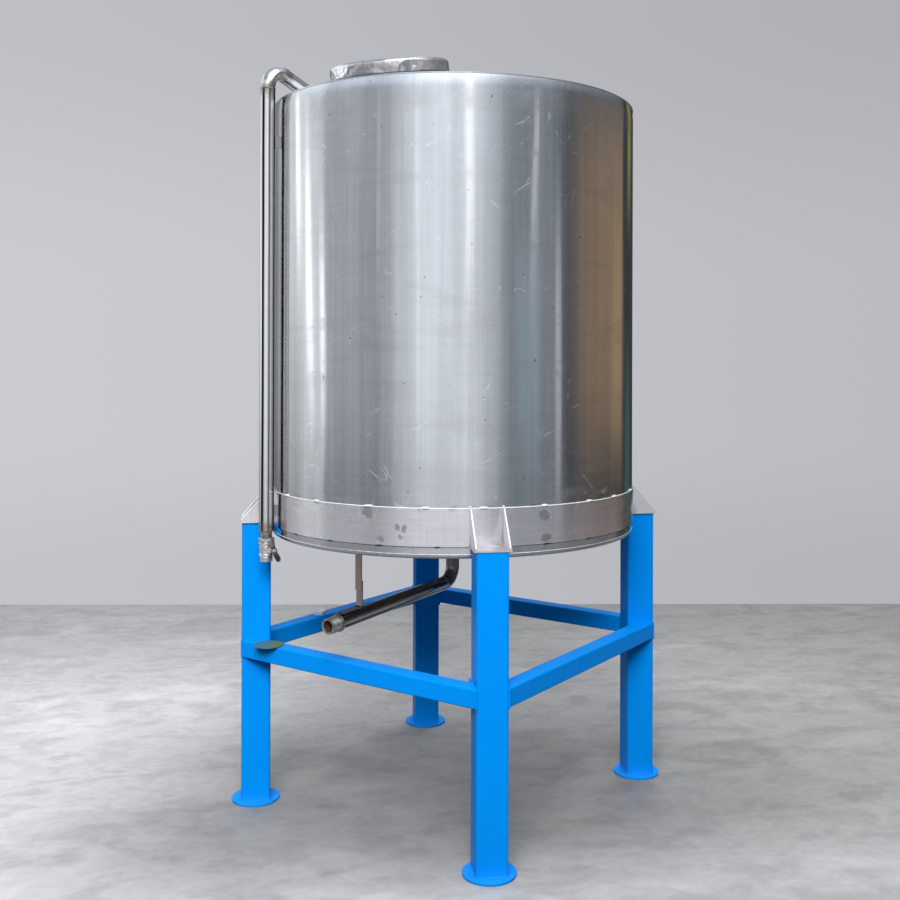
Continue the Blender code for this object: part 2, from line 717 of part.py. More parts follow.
def build_hanger(start, run):
    """Two lapped straps that hang the outlet pipe from the tank's bottom."""
    away = heading(OUTLET_HEADING)
    up = Vector((0, 0, 1))
    across = away.cross(up)
    half = HANGER_WIDTH / 2
    back = HANGER_REACH - HANGER_THICKNESS

    upper = [
        (HANGER_REACH, bottom_height(HANGER_REACH) - 3 * GAP),
        (HANGER_REACH, HANGER_LAP_LOW),
        (HANGER_REACH + HANGER_THICKNESS, HANGER_LAP_LOW),
        (HANGER_REACH + HANGER_THICKNESS, bottom_height(HANGER_REACH) - 3 * GAP),
    ]
    side_on = frame_matrix(Vector((0, 0, 0)), away, up, across)
    extruded("outlet_hanger_upper", upper, -half, half, STEEL, side_on)

    along_axis = (HANGER_REACH - start.dot(away)) / run.dot(away)
    pipe_axis = start.z + run.z * along_axis
    seat = pipe_axis + (OUTLET_RADIUS + GAP) / cos(OUTLET_FALL)
    front = HANGER_REACH - GAP
    corner = (front + HANGER_BEND_RADIUS, seat + HANGER_THICKNESS + HANGER_BEND_RADIUS)
    inner = arc(corner, HANGER_BEND_RADIUS, pi, 3 * pi / 2 - OUTLET_FALL, HANGER_BEND_STEPS)
    outer_radius = HANGER_BEND_RADIUS + HANGER_THICKNESS
    outer = arc(corner, outer_radius, 3 * pi / 2 - OUTLET_FALL, pi, HANGER_BEND_STEPS)
    reach = (cos(OUTLET_FALL) * HANGER_FOOT, -sin(OUTLET_FALL) * HANGER_FOOT)
    toe_top = (inner[-1][0] + reach[0], inner[-1][1] + reach[1])
    toe_low = (outer[0][0] + reach[0], outer[0][1] + reach[1])
    lower = [(back - GAP, HANGER_LAP_HIGH), (front, HANGER_LAP_HIGH)] + inner + [toe_top, toe_low] + outer
    extruded("outlet_hanger_lower", lower, -half, half, STEEL, side_on)


def build_loose_pieces():
    """Round plate and plastic plug that lie on the left-hand cross-beams."""
    edge = 0.001
    plate = [
        (0.0, PLATE_THICKNESS),
        (PLATE_RADIUS - edge, PLATE_THICKNESS),
        (PLATE_RADIUS, PLATE_THICKNESS - edge),
        (PLATE_RADIUS, 0.0),
        (0.0, 0.0),
    ]
    place = Matrix.Translation((PLATE_X, PLATE_Y, BEAM_TOP + GAP))
    turned("round_plate", plate, OLIVE, SMALL_STEPS, place)
    plug = [
        (0.0, PLUG_HEIGHT),
        (PLUG_TOP_RADIUS - 2 * edge, PLUG_HEIGHT),
        (PLUG_TOP_RADIUS, PLUG_HEIGHT - 2 * edge),
        (PLUG_BOTTOM_RADIUS, edge),
        (PLUG_BOTTOM_RADIUS - edge, 0.0),
        (0.0, 0.0),
    ]
    place = Matrix.Translation((PLUG_X, PLUG_Y, BEAM_TOP + GAP))
    turned("plastic_plug", plug, PLASTIC, SMALL_STEPS, place)


build_shell()
build_stand()
build_manhole()
build_inlet()
build_valve()
build_outlet()
build_loose_pieces()
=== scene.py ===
"""Finishes, fine meshes, weld beads, studio light and camera for a storage tank on a four-leg stand.

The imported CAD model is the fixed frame. Its flat nodes keep their meshes and get procedural finishes. Its
round and rolled nodes are replaced by finer meshes of the same sizes, because facets show in reflections.
Weld beads, seams and other small pieces that the CAD leaves out are built here too. Every piece rides on one
of the frame's bodies.

Units are metres. +Z is up, +Y points away from the viewer, +X to the right. The origin is on the floor, on
the axis of the tank.
"""

from __future__ import annotations

import json
import logging
import math
from dataclasses import dataclass, field
from enum import Enum
from typing import Any, Callable, Iterable, Sequence

import bpy
from mathutils import Matrix, Vector, noise

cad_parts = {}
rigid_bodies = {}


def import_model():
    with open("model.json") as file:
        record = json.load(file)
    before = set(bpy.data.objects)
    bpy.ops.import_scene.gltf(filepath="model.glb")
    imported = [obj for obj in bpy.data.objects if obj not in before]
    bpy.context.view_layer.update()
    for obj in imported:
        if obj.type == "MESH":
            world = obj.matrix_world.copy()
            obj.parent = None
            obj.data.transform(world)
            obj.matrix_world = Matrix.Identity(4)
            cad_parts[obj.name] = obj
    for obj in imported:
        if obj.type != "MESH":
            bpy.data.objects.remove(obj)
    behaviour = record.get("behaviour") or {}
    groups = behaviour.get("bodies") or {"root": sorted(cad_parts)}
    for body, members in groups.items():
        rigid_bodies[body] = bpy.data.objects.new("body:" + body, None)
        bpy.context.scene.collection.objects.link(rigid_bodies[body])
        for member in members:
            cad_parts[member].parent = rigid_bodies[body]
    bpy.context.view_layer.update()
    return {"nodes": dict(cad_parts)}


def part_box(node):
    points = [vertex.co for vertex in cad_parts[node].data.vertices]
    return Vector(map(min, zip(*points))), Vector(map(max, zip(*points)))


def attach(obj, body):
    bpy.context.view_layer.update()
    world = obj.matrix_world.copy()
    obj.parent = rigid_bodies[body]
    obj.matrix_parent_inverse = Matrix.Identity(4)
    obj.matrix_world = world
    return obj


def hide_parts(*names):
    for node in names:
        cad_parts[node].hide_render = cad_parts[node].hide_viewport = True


LOG = logging.getLogger("storage_tank")
UP = Vector((0, 0, 1))
# Radius at which places round the tank are turned into metres along its girth.
GIRTH_RADIUS = 0.65
DEGREES = 180 / math.pi


class Body(Enum):
    """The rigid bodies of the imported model."""

    TANK = "tank"
    HANDLE = "valve_handle"
    LID = "manhole_lid"


class Slot(Enum):
    """The record's material slots."""

    SHEET = "stainless_sheet"
    TUBE = "polished_tube"
    CAST = "cast_stainless"
    PAINT = "blue_paint"
    OLIVE = "olive_steel"
    PLASTIC = "clear_plastic"


class Signal:
    """A shader socket that takes part in Python arithmetic: each operation adds a Math node."""

    def __init__(self, tree: ShaderTree, socket: bpy.types.NodeSocket) -> None:
        """Wrap a socket.

        Args:
            tree: the node tree that the socket belongs to.
            socket: the output socket.
        """
        self.tree = tree
        self.socket = socket

    def __add__(self, other: Operand) -> Signal:
        """Sum of two values."""
        return self.tree.math("ADD", self, other)

    def __radd__(self, other: Operand) -> Signal:
        """Sum of two values."""
        return self.tree.math("ADD", other, self)

    def __sub__(self, other: Operand) -> Signal:
        """Difference of two values."""
        return self.tree.math("SUBTRACT", self, other)

    def __rsub__(self, other: Operand) -> Signal:
        """Difference of two values, the other way round."""
        return self.tree.math("SUBTRACT", other, self)

    def __mul__(self, other: Operand) -> Signal:
        """Product of two values."""
        return self.tree.math("MULTIPLY", self, other)

    def __rmul__(self, other: Operand) -> Signal:
        """Product of two values."""
        return self.tree.math("MULTIPLY", other, self)

    def __truediv__(self, other: Operand) -> Signal:
        """Quotient of two values."""
        return self.tree.math("DIVIDE", self, other)

    def __abs__(self) -> Signal:
        """Size of a value without its sign."""
        return self.tree.math("ABSOLUTE", self)

    def rise(self, low: float, high: float) -> Signal:
        """Smooth step of a value.

        Args:
            low: the value at which the step is 0.
            high: the value at which the step is 1; it may lie below low.

        Returns:
            The step, from 0 to 1.
        """
        start, end, first, last = (low, high, 0.0, 1.0) if low < high else (high, low, 1.0, 0.0)
        inputs = {"Value": self, "From Min": start, "From Max": end, "To Min": first, "To Max": last}
        node = self.tree.node("ShaderNodeMapRange", {"interpolation_type": "SMOOTHSTEP"}, inputs)
        return Signal(self.tree, node.outputs["Result"])

    def near(self, centre: float, reach: float, soft: float) -> Signal:
        """Mask of the values close to a centre.

        Args:
            centre: the middle of the masked range.
            reach: half of the range.
            soft: how far past the range the mask falls to 0.

        Returns:
            1 within the range, and 0 away from it.
        """
        return abs(self - centre).rise(reach + soft, reach)


Operand = Signal | float


class ShaderTree:
    """Node tree of one material or of the world."""

    # Numbers of the sockets of a Mix node that mixes colours.
    MIX_SHARE = 0
    FIRST_COLOUR = 6
    SECOND_COLOUR = 7
    MIXED_COLOUR = 2

    def __init__(self, owner: bpy.types.Material | bpy.types.World) -> None:
        """Empty the owner's node tree.

        Args:
            owner: the material or world that is given nodes.
        """
        owner.use_nodes = True
        self.tree = owner.node_tree
        self.tree.nodes.clear()

    def node(
        self,
        kind: str,
        settings: dict[str, Any] | None = None,
        inputs: dict[str | int, Any] | None = None,
    ) -> bpy.types.Node:
        """Add a node.

        Args:
            kind: Blender's type of the node.
            settings: its properties, set first; "stops" is a colour ramp's list of places and colours.
            inputs: a value or a Signal for each input socket, by name or by number.

        Returns:
            The new node.
        """
        node = self.tree.nodes.new(kind)
        for name, setting in (settings or {}).items():
            if name == "stops":
                self._set_stops(node.color_ramp, setting)
            else:
                setattr(node, name, setting)
        for key, value in (inputs or {}).items():
            if isinstance(value, Signal):
                self.tree.links.new(value.socket, node.inputs[key])
            else:
                node.inputs[key].default_value = value
        return node

    @staticmethod
    def _set_stops(ramp: bpy.types.ColorRamp, stops: Sequence[tuple[float, Colour]]) -> None:
        """Give a colour ramp its stops.

        Args:
            ramp: the ramp of a new node, with two stops.
            stops: the place and the colour of each stop.
        """
        while len(ramp.elements) < len(stops):
            ramp.elements.new(1.0)
        for element, (place, colour) in zip(ramp.elements, stops):
            element.position = place
            element.color = (*colour, 1.0)

    def math(self, operation: str, *operands: Operand) -> Signal:
        """Signal of a Math node on one to three operands."""
        node = self.node("ShaderNodeMath", {"operation": operation}, dict(enumerate(operands)))
        return Signal(self, node.outputs[0])

    def vector_math(self, operation: str, inputs: dict[str | int, Any], output: str = "Vector") -> Signal:
        """Signal of a Vector Math node."""
        node = self.node("ShaderNodeVectorMath", {"operation": operation}, inputs)
        return Signal(self, node.outputs[output])

    def place(self) -> Signal:
        """Place on the object, in metres in the row frame."""
        return Signal(self, self.node("ShaderNodeTexCoord").outputs["Object"])

    def parts(self, vector: Signal) -> tuple[Signal, Signal, Signal]:
        """X, Y and Z of a vector."""
        outputs = self.node("ShaderNodeSeparateXYZ", None, {0: vector}).outputs
        return Signal(self, outputs[0]), Signal(self, outputs[1]), Signal(self, outputs[2])

    def vector(self, x: Operand, y: Operand, z: Operand) -> Signal:
        """Vector of three values."""
        return Signal(self, self.node("ShaderNodeCombineXYZ", None, {0: x, 1: y, 2: z}).outputs[0])

    def stretched(self, vector: Signal, x: float, y: float, z: float) -> Signal:
        """Vector whose parts are multiplied by three numbers."""
        return self.vector_math("MULTIPLY", {0: vector, 1: (x, y, z)})

    def distance(self, vector: Signal, point: Sequence[float]) -> Signal:
        """Distance of a vector from a fixed point."""
        return self.vector_math("DISTANCE", {0: vector, 1: tuple(point)}, "Value")

    def noise(self, vector: Signal, scale: float, detail: float = 2.0, distortion: float = 0.0) -> Signal:
        """Noise around 0.5.

        Args:
            vector: the place that the noise follows.
            scale: waves in each metre.
            detail: octaves of finer noise.
            distortion: how far the noise is warped.

        Returns:
            The noise.
        """
        inputs = {"Vector": vector, "Scale": scale, "Detail": detail, "Distortion": distortion}
        return Signal(self, self.node("ShaderNodeTexNoise", None, inputs).outputs[0])

    def stretched_noise(
        self, vector: Signal, waves: Triple, detail: float = 2.0, distortion: float = 0.0
    ) -> Signal:
        """Noise whose waves in each metre differ along X, Y and Z."""
        return self.noise(self.stretched(vector, *waves), 1.0, detail, distortion)

    def mix(
        self, share: Operand, first: Signal | Colour, second: Signal | Colour, blend: str = "MIX"
    ) -> Signal:
        """Mix of two colours.

        Args:
            share: 0 for the first colour and 1 for the second.
            first: a colour.
            second: a colour.
            blend: how the second colour is laid over the first, as Blender names it.

        Returns:
            The mixed colour.
        """
        colours = [item if isinstance(item, Signal) else (*item, 1.0) for item in (first, second)]
        inputs = {self.MIX_SHARE: share, self.FIRST_COLOUR: colours[0], self.SECOND_COLOUR: colours[1]}
        node = self.node("ShaderNodeMix", {"data_type": "RGBA", "blend_type": blend}, inputs)
        return Signal(self, node.outputs[self.MIXED_COLOUR])

    def glow(self, share: Signal, colour: Signal, added: Colour) -> Signal:
        """Colour with a share of a second one added."""
        return self.mix(share, colour, added, "ADD")

    def shaded(self, colour: Signal | Colour, light: Signal) -> Signal:
        """Colour made lighter or darker by a value around 1."""
        return self.vector_math("SCALE", {0: colour, "Scale": light})

    def bump(self, height: Signal, distance: float, normal: Signal | None = None) -> Signal:
        """Normal that follows a height.

        Args:
            height: the height, in units of distance.
            distance: metres of relief in each unit of height.
            normal: the normal of a coarser bump below this one.

        Returns:
            The normal.
        """
        inputs: dict[str | int, Any] = {"Height": height, "Distance": distance, "Strength": 1.0}
        if normal is not None:
            inputs["Normal"] = normal
        return Signal(self, self.node("ShaderNodeBump", None, inputs).outputs[0])

    def surface(
        self,
        colour: Signal,
        roughness: Operand,
        normal: Signal | None = None,
        metallic: Operand = 0.0,
        constants: dict[str, Any] | None = None,
    ) -> None:
        """Finish a material with a Principled shader.

        Args:
            colour: the base colour.
            roughness: the roughness.
            normal: the normal, where a bump changes it.
            metallic: 1 for bare metal, and 0 for paint, plastic and concrete.
            constants: values of the shader's other sockets, by name.
        """
        inputs: dict[str | int, Any] = {"Base Color": colour, "Roughness": roughness, "Metallic": metallic}
        inputs.update(constants or {})
        if normal is not None:
            inputs["Normal"] = normal
        shader = self.node("ShaderNodeBsdfPrincipled", None, inputs)
        self.node("ShaderNodeOutputMaterial", None, {"Surface": Signal(self, shader.outputs[0])})


Colour = tuple[float, float, float]
Triple = tuple[float, float, float]


@dataclass(frozen=True)
class HeatTintAndPaintedShade:
    """Soft round tint of a surface: the brown that welding leaves; with another colour given, it is a patch
    of painted shade.

    It is full over the core's share of its reach, and dulled is the share of the metal's shine that it takes.
    """

    place: Triple
    reach: float
    depth: float = 0.7
    colour: Colour = (0.24, 0.14, 0.09)
    dulled: float = 0.0
    core: float = 0.35

    def cover(self, tree: ShaderTree, place: Signal) -> Signal:
        """Share of the surface's colour that the tint takes."""
        return tree.distance(place, self.place).rise(self.reach, self.reach * self.core) * self.depth


@dataclass(frozen=True)
class Stain:
    """Dull grey blot on the tank's side."""

    azimuth: float
    level: float
    half_width: float
    half_height: float
    depth: float


class Finish:
    """A procedural finish, built once and then shared."""

    name: str

    def material(self) -> bpy.types.Material:
        """Material of the finish.

        Returns:
            The material, which is made at the first call.
        """
        made = bpy.data.materials.get(self.name)
        if made is None:
            made = bpy.data.materials.new(self.name)
            self.shade(ShaderTree(made))
        return made

    def shade(self, tree: ShaderTree) -> None:
        """Add the finish's nodes to an empty tree."""
        raise NotImplementedError(self.name)


@dataclass(frozen=True)
class RolledSheet(Finish):
    """Rolled stainless sheet: upright grain, soft clouds, dull smears, light scratches and grey stains."""

    name: str
    colour: Colour = (0.636, 0.651, 0.680)
    roughness: float = 0.13
    grain: Triple = (38.0, 38.0, 1.1)
    grain_depth: float = 0.00016
    wave: float = 0.0009
    hammer: float = 0.0
    mottle: float = 1.0
    smudge: float = 0.15
    scratches: float = 0.42
    pits: float = 0.0
    haze_level: float | None = None
    rim_level: float | None = None
    stains: tuple[Stain, ...] = ()
    tints: tuple[HeatTintAndPaintedShade, ...] = ()
    smear_colour: Colour = (0.40, 0.385, 0.38)
    scratch_colour: Colour = (0.90, 0.91, 0.93)
    pit_colour: Colour = (0.10, 0.095, 0.09)
    rim_colour: Colour = (0.36, 0.32, 0.29)
    haze_colour: Colour = (0.30, 0.21, 0.15)
    stain_colour: Colour = (0.17, 0.17, 0.18)

    def shade(self, tree: ShaderTree) -> None:
        """Add the sheet's nodes.

        Args:
            tree: the material's empty node tree.
        """
        place = tree.place()
        x, y, height = tree.parts(place)
        girth = tree.math("ARCTAN2", x, y * -1.0) * GIRTH_RADIUS
        unrolled = tree.vector(girth, height, 0.0)
        clouds = tree.stretched_noise(place, (5.0, 5.0, 2.0), 3.0, 0.4)
        grain = tree.stretched_noise(place, self.grain, 3.0)
        lines = tree.stretched_noise(place, (150.0, 150.0, 2.2))
        smears = tree.stretched_noise(place, (7.0, 7.0, 60.0), 3.0)
        dull = tree.stretched_noise(place, (3.2, 3.2, 13.0), 4.0, 0.7).rise(0.50, 0.70) * self.smudge
        scratch = self._scratches(tree, girth, height)
        uneven = (clouds - 0.5) * 0.24 + (grain - 0.5) * 0.16 + (smears - 0.5) * 0.08 + (lines - 0.5) * 0.14
        light = 1.0 + uneven * self.mottle
        colour = tree.shaded(self.colour, light)
        colour = tree.mix(dull, colour, self.smear_colour)
        colour = tree.mix(scratch * self.scratches, colour, self.scratch_colour)
        rough = self.roughness + (smears - 0.5) * 0.06 + (clouds - 0.5) * 0.10 + scratch * 0.12 + dull * 0.35
        if self.pits:
            pits = tree.noise(unrolled, 55.0, 1.0).rise(0.765, 0.790)
            colour = tree.mix(pits * self.pits, colour, self.pit_colour)
        if self.rim_level is not None:
            patches = tree.noise(unrolled, 9.0, 4.0, 0.5).rise(0.35, 0.65)
            rim = height.near(self.rim_level, 0.012, 0.050) * patches
            colour = tree.mix(rim * 0.30, colour, self.rim_colour)
            rough = rough + rim * 0.08
        if self.haze_level is not None:
            patches = tree.noise(unrolled, 22.0).rise(0.52, 0.72)
            haze = height.near(self.haze_level, 0.003, 0.012) * patches
            colour = tree.mix(haze * 0.35, colour, self.haze_colour)
        for stain in self.stains:
            blot = self._blot(tree, girth, height, unrolled, stain)
            colour = tree.mix(blot * stain.depth, colour, self.stain_colour)
            rough = rough + blot * 0.15
        metallic: Operand = 1.0
        # Heat tints; a tint that dulls the metal is a patch of painted shade.
        for tint in self.tints:
            cover = tint.cover(tree, place)
            colour = tree.mix(cover, colour, tint.colour)
            if tint.dulled:
                metallic = metallic - cover * tint.dulled
        normal = tree.bump(tree.stretched_noise(place, (2.4, 2.4, 0.8), 1.0), self.wave)
        normal = tree.bump(tree.stretched_noise(place, (11.0, 11.0, 1.6), 1.0), self.wave * 0.40, normal)
        normal = tree.bump(tree.stretched_noise(place, (9.0, 9.0, 12.0)), self.wave * 0.10, normal)
        if self.hammer:
            normal = tree.bump(tree.noise(place, 30.0, 2.0), self.hammer, normal)
        normal = tree.bump(grain, self.grain_depth, normal)
        brushed = {"Anisotropic": 0.8, "Anisotropic Rotation": 0.25}
        tree.surface(colour, rough, normal, metallic, brushed)

    @staticmethod
    def _scratches(tree: ShaderTree, girth: Signal, height: Signal) -> Signal:
        """Thin light scratches in four directions.

        Args:
            tree: the node tree.
            girth: metres round the tank.
            height: metres above the floor.

        Returns:
            1 on a scratch and 0 beside it.
        """
        total: Signal | None = None
        directions_and_seeds = ((0.35, 1.7), (1.25, 5.1), (-0.75, 9.3), (0.52, 13.9))
        for turn, seed in directions_and_seeds:
            along_cut = girth * math.cos(turn) + height * math.sin(turn)
            across_cut = height * math.cos(turn) - girth * math.sin(turn)
            lines = tree.noise(tree.vector(along_cut * 3.0, across_cut * 40.0, seed), 1.0, 0.0)
            patches = tree.noise(tree.vector(along_cut * 9.0, across_cut * 14.0, seed + 3.0), 1.0, 0.0)
            line = lines.near(0.5, 0.002, 0.007) * patches.rise(0.62, 0.70)
            total = line if total is None else tree.math("MAXIMUM", total, line)
        return total

    @staticmethod
    def _blot(tree: ShaderTree, girth: Signal, height: Signal, unrolled: Signal, stain: Stain) -> Signal:
        """Mask of one stain with a ragged edge.

        Args:
            tree: the node tree.
            girth: metres round the tank.
            height: metres above the floor.
            unrolled: girth and height as a vector.
            stain: the stain's place and size.

        Returns:
            1 on the stain and 0 away from it.
        """
        centre = math.radians(90 + stain.azimuth)
        centre = (centre + math.pi) % (2 * math.pi) - math.pi
        across = (girth - centre * GIRTH_RADIUS) / stain.half_width
        down = (height - stain.level) / stain.half_height
        ragged = (tree.noise(unrolled, 70.0, 3.0, 0.8) - 0.5) * 3.0
        inside = 0.55 + tree.noise(unrolled, 260.0, 2.0) * 0.8
        return (across * across + down * down + ragged).rise(1.0, 0.6) * inside


@dataclass(frozen=True)
class PaintedReflectionStripe:
    """Painted reflection: a lengthwise dark line on a tube, by its angle round the tube's axis in degrees."""

    angle: float
    half_width: float
    depth: float


@dataclass(frozen=True)
class PolishedTube(Finish):
    """Polished stainless tube with lengthwise drawn lines, brown rings at its welds and dark stripes painted
    as reflections.
    """

    name: str
    colour: Colour = (0.70, 0.69, 0.68)
    roughness: float = 0.08
    mottle: float = 0.16
    origin: Triple = (0.0, 0.0, 0.0)
    side: Triple = (1.0, 0.0, 0.0)
    other: Triple = (0.0, 1.0, 0.0)
    length: Triple = (0.0, 0.0, 1.0)
    painted_reflections: tuple[PaintedReflectionStripe, ...] = ()
    # dark is the colour of the stripes painted as reflections.
    dark: Colour = (0.10, 0.095, 0.095)
    burnt: Colour = (0.20, 0.12, 0.075)
    tints: tuple[HeatTintAndPaintedShade, ...] = ()

    def shade(self, tree: ShaderTree) -> None:
        """Add the tube's nodes.

        Args:
            tree: the material's empty node tree.
        """
        place = tree.place()
        local = tree.vector_math("SUBTRACT", {0: place, 1: self.origin})
        axes = (self.side, self.other, self.length)
        across, aside, run = (tree.vector_math("DOT_PRODUCT", {0: local, 1: axis}, "Value") for axis in axes)
        turn = tree.math("ARCTAN2", aside, across)
        lines = tree.noise(tree.vector(across * 260.0, aside * 260.0, run * 2.5), 1.0, 2.0)
        marks = tree.noise(place, 34.0, 3.0)
        colour = tree.shaded(self.colour, 1.0 + (lines - 0.5) * 0.30 + (marks - 0.5) * self.mottle)
        wander = (tree.noise(tree.vector(run * 1.6, 0.0, 0.0), 1.0, 1.0) - 0.5) * 10.0
        # Dark stripes at fixed angles round the tube: painted reflections.
        for painted_stripe in self.painted_reflections:
            band = (turn * DEGREES + wander).near(painted_stripe.angle, painted_stripe.half_width, 7.0)
            colour = tree.mix(band * painted_stripe.depth, colour, self.dark)
        rough = self.roughness + (lines - 0.5) * 0.05 + marks.rise(0.55, 0.80) * 0.08
        for tint in self.tints:
            cover = tint.cover(tree, place) * marks.rise(0.15, 0.60)
            colour = tree.mix(cover, colour, self.burnt)
            rough = rough + cover * 0.25
        waves = tree.bump(tree.noise(place, 9.0), 0.0005)
        tree.surface(colour, rough, tree.bump(lines, 0.00001, waves), 1.0)


@dataclass(frozen=True)
class CastSteel(Finish):
    """Bead-blasted cast stainless steel with darker pits."""

    name: str
    colour: Colour = (0.56, 0.54, 0.51)
    roughness: float = 0.38
    metallic: float = 1.0
    dirt: Colour = (0.18, 0.14, 0.11)
    dirt_share: float = 0.5

    def shade(self, tree: ShaderTree) -> None:
        """Add the casting's nodes.

        Args:
            tree: the material's empty node tree.
        """
        place = tree.place()
        pits = tree.noise(place, 900.0, 3.0)
        blotches = tree.noise(place, 70.0, 3.0, 0.3)
        colour = tree.shaded(self.colour, 0.82 + pits * 0.20 + blotches * 0.16)
        colour = tree.mix(blotches.rise(0.50, 0.75) * self.dirt_share, colour, self.dirt)
        rough = self.roughness + (blotches - 0.5) * 0.22
        tree.surface(colour, rough, tree.bump(pits, 0.00025), self.metallic)


@dataclass(frozen=True)
class WeldMetal(Finish):
    """Rippled weld bead: bright metal between straw and brown heat colours."""

    name: str
    bright: Colour = (0.86, 0.85, 0.84)
    burnt: Colour = (0.24, 0.15, 0.10)
    burnt_share: float = 0.5
    roughness: float = 0.20
    metallic: float = 1.0

    def shade(self, tree: ShaderTree) -> None:
        """Add the bead's nodes.

        Args:
            tree: the material's empty node tree.
        """
        place = tree.place()
        heat = tree.noise(place, 60.0, 2.0).rise(0.35, 0.70)
        ripple = tree.noise(place, 420.0, 1.0)
        colour = tree.mix(heat * self.burnt_share, self.bright, self.burnt)
        colour = tree.shaded(colour, 0.85 + ripple * 0.3)
        tree.surface(colour, self.roughness + heat * 0.22, tree.bump(ripple, 0.0003), self.metallic)


@dataclass(frozen=True)
class StandPaint(Finish):
    """Azure gloss paint with orange peel, dust, small scuffs and weld spatter at the joints."""

    name: str
    colour: Colour = (0.001, 0.282, 0.90)
    dust: float = 0.10
    dust_colour: Colour = (0.16, 0.34, 0.62)
    spatter_colour: Colour = (0.001, 0.10, 0.40)
    joint_level: float = 0.543

    def shade(self, tree: ShaderTree) -> None:
        """Add the paint's nodes.

        Args:
            tree: the material's empty node tree.
        """
        place = tree.place()
        _, _, height = tree.parts(place)
        cloud = tree.noise(place, 6.0, 3.0)
        speck = tree.noise(place, 120.0, 2.0).rise(0.72, 0.80)
        low = height.rise(0.05, 0.0)
        joint = height.near(self.joint_level, 0.030, 0.030) * tree.noise(place, 4.0, 1.0).rise(0.45, 0.60)
        spatter = tree.noise(place, 210.0, 1.0).rise(0.66, 0.74) * joint
        runs = tree.stretched_noise(place, (30.0, 30.0, 2.0))
        colour = tree.shaded(self.colour, 0.92 + cloud * 0.10 + runs * 0.06)
        colour = tree.mix(speck * 0.10 + low * cloud * self.dust, colour, self.dust_colour)
        colour = tree.mix(spatter * 0.25, colour, self.spatter_colour)
        normal = tree.bump(spatter, 0.0012, tree.bump(tree.noise(place, 260.0, 1.0), 0.00005))
        tree.surface(colour, 0.36 + (cloud - 0.5) * 0.16, normal, constants={"Specular IOR Level": 0.03})


@dataclass(frozen=True)
class OlivePaint(Finish):
    """Dull teal and olive coat of the loose round plate, split at a place along X."""

    name: str
    teal: Colour = (0.055, 0.145, 0.155)
    olive: Colour = (0.085, 0.125, 0.030)
    worn: Colour = (0.16, 0.21, 0.17)
    split_low: float = -0.675
    split_high: float = -0.625

    def shade(self, tree: ShaderTree) -> None:
        """Add the plate's nodes.

        Args:
            tree: the material's empty node tree.
        """
        place = tree.place()
        x, _, _ = tree.parts(place)
        cloud = tree.noise(place, 30.0, 3.0)
        side = (x + (cloud - 0.5) * 0.04).rise(self.split_low, self.split_high)
        colour = tree.mix(side, self.teal, self.olive)
        colour = tree.mix(cloud.rise(0.55, 0.75) * 0.35, colour, self.worn)
        normal = tree.bump(tree.noise(place, 300.0, 1.0), 0.0001)
        tree.surface(colour, 0.34 + cloud * 0.2, normal, constants={"Specular IOR Level": 0.3})


@dataclass(frozen=True)
class MilkyPlastic(Finish):
    """Milky plastic of the loose plug."""

    name: str
    clear: Colour = (0.80, 0.84, 0.88)
    cloudy: Colour = (0.94, 0.95, 0.97)

    def shade(self, tree: ShaderTree) -> None:
        """Add the plug's nodes.

        Args:
            tree: the material's empty node tree.
        """
        place = tree.place()
        haze = tree.noise(place, 60.0, 2.0)
        depth = {"Subsurface Weight": 0.35, "Subsurface Radius": (0.01, 0.01, 0.01), "Subsurface Scale": 0.5}
        colour = tree.mix(haze, self.clear, self.cloudy)
        tree.surface(colour, 0.20 + haze * 0.16, tree.bump(haze, 0.0002), constants=depth)


@dataclass(frozen=True)
class Concrete(Finish):
    """Pale trowelled floor with stains, a painted shadow under the tank, painted light that falls off to its
    right and is brightest at the front left, and a darker zone far behind it.
    """

    name: str
    pale: Colour = (0.68, 0.68, 0.69)
    # worn is the colour of the floor's stains and also of its painted shade.
    worn: Colour = (0.20, 0.20, 0.195)

    def shade(self, tree: ShaderTree) -> None:
        """Add the floor's nodes.

        Args:
            tree: the material's empty node tree.
        """
        place = tree.place()
        x, y, _ = tree.parts(place)
        cloud = tree.stretched_noise(place, (0.7, 1.6, 1.0), 5.0, 0.5)
        trowel = tree.stretched_noise(place, (2.0, 5.0, 1.0), 6.0, 1.2)
        blotch = tree.stretched_noise(place, (6.0, 8.0, 1.0), 8.0, 0.4)
        reach = tree.math("SQRT", x * x * 0.30 + (y + 0.2) * (y + 0.2) * 0.55)
        # Painted shadow of the tank on the floor under it.
        middle = (reach + (cloud - 0.5) * 0.8).rise(1.10, 0.35)
        # Painted light that falls off towards the right.
        side = (x + (cloud - 0.5) * 1.2).rise(-2.6, 1.0)
        colour = tree.mix(side * 0.62, self.pale, self.worn)
        colour = tree.mix(middle * 0.80, colour, self.worn)
        ragged_y = y + (cloud - 0.5) * 0.5
        # Darker far behind the tank.
        colour = tree.mix(ragged_y.rise(1.3, 2.8) * 0.40, colour, self.worn)
        # Painted light: lighter at the front left.
        near = ragged_y.rise(-0.30, -0.95) * x.rise(-1.8, -0.9)
        colour = tree.mix(near * 0.40, colour, self.pale)
        stain = (trowel * 0.5 + blotch * 0.5).rise(0.50, 0.60) * cloud.rise(0.40, 0.58)
        colour = tree.mix(stain * 0.38, colour, self.worn)
        speck = tree.stretched_noise(place, (26.0, 30.0, 1.0), 6.0)
        scuff = trowel.rise(0.36, 0.64) * 0.17 + blotch.rise(0.38, 0.62) * 0.17
        scuff = scuff + speck.rise(0.36, 0.64) * 0.08
        colour = tree.shaded(colour, 0.79 + scuff)
        tree.surface(colour, 0.45 + trowel * 0.25, constants={"Specular IOR Level": 0.3})


WELD = WeldMetal("weld_bead")
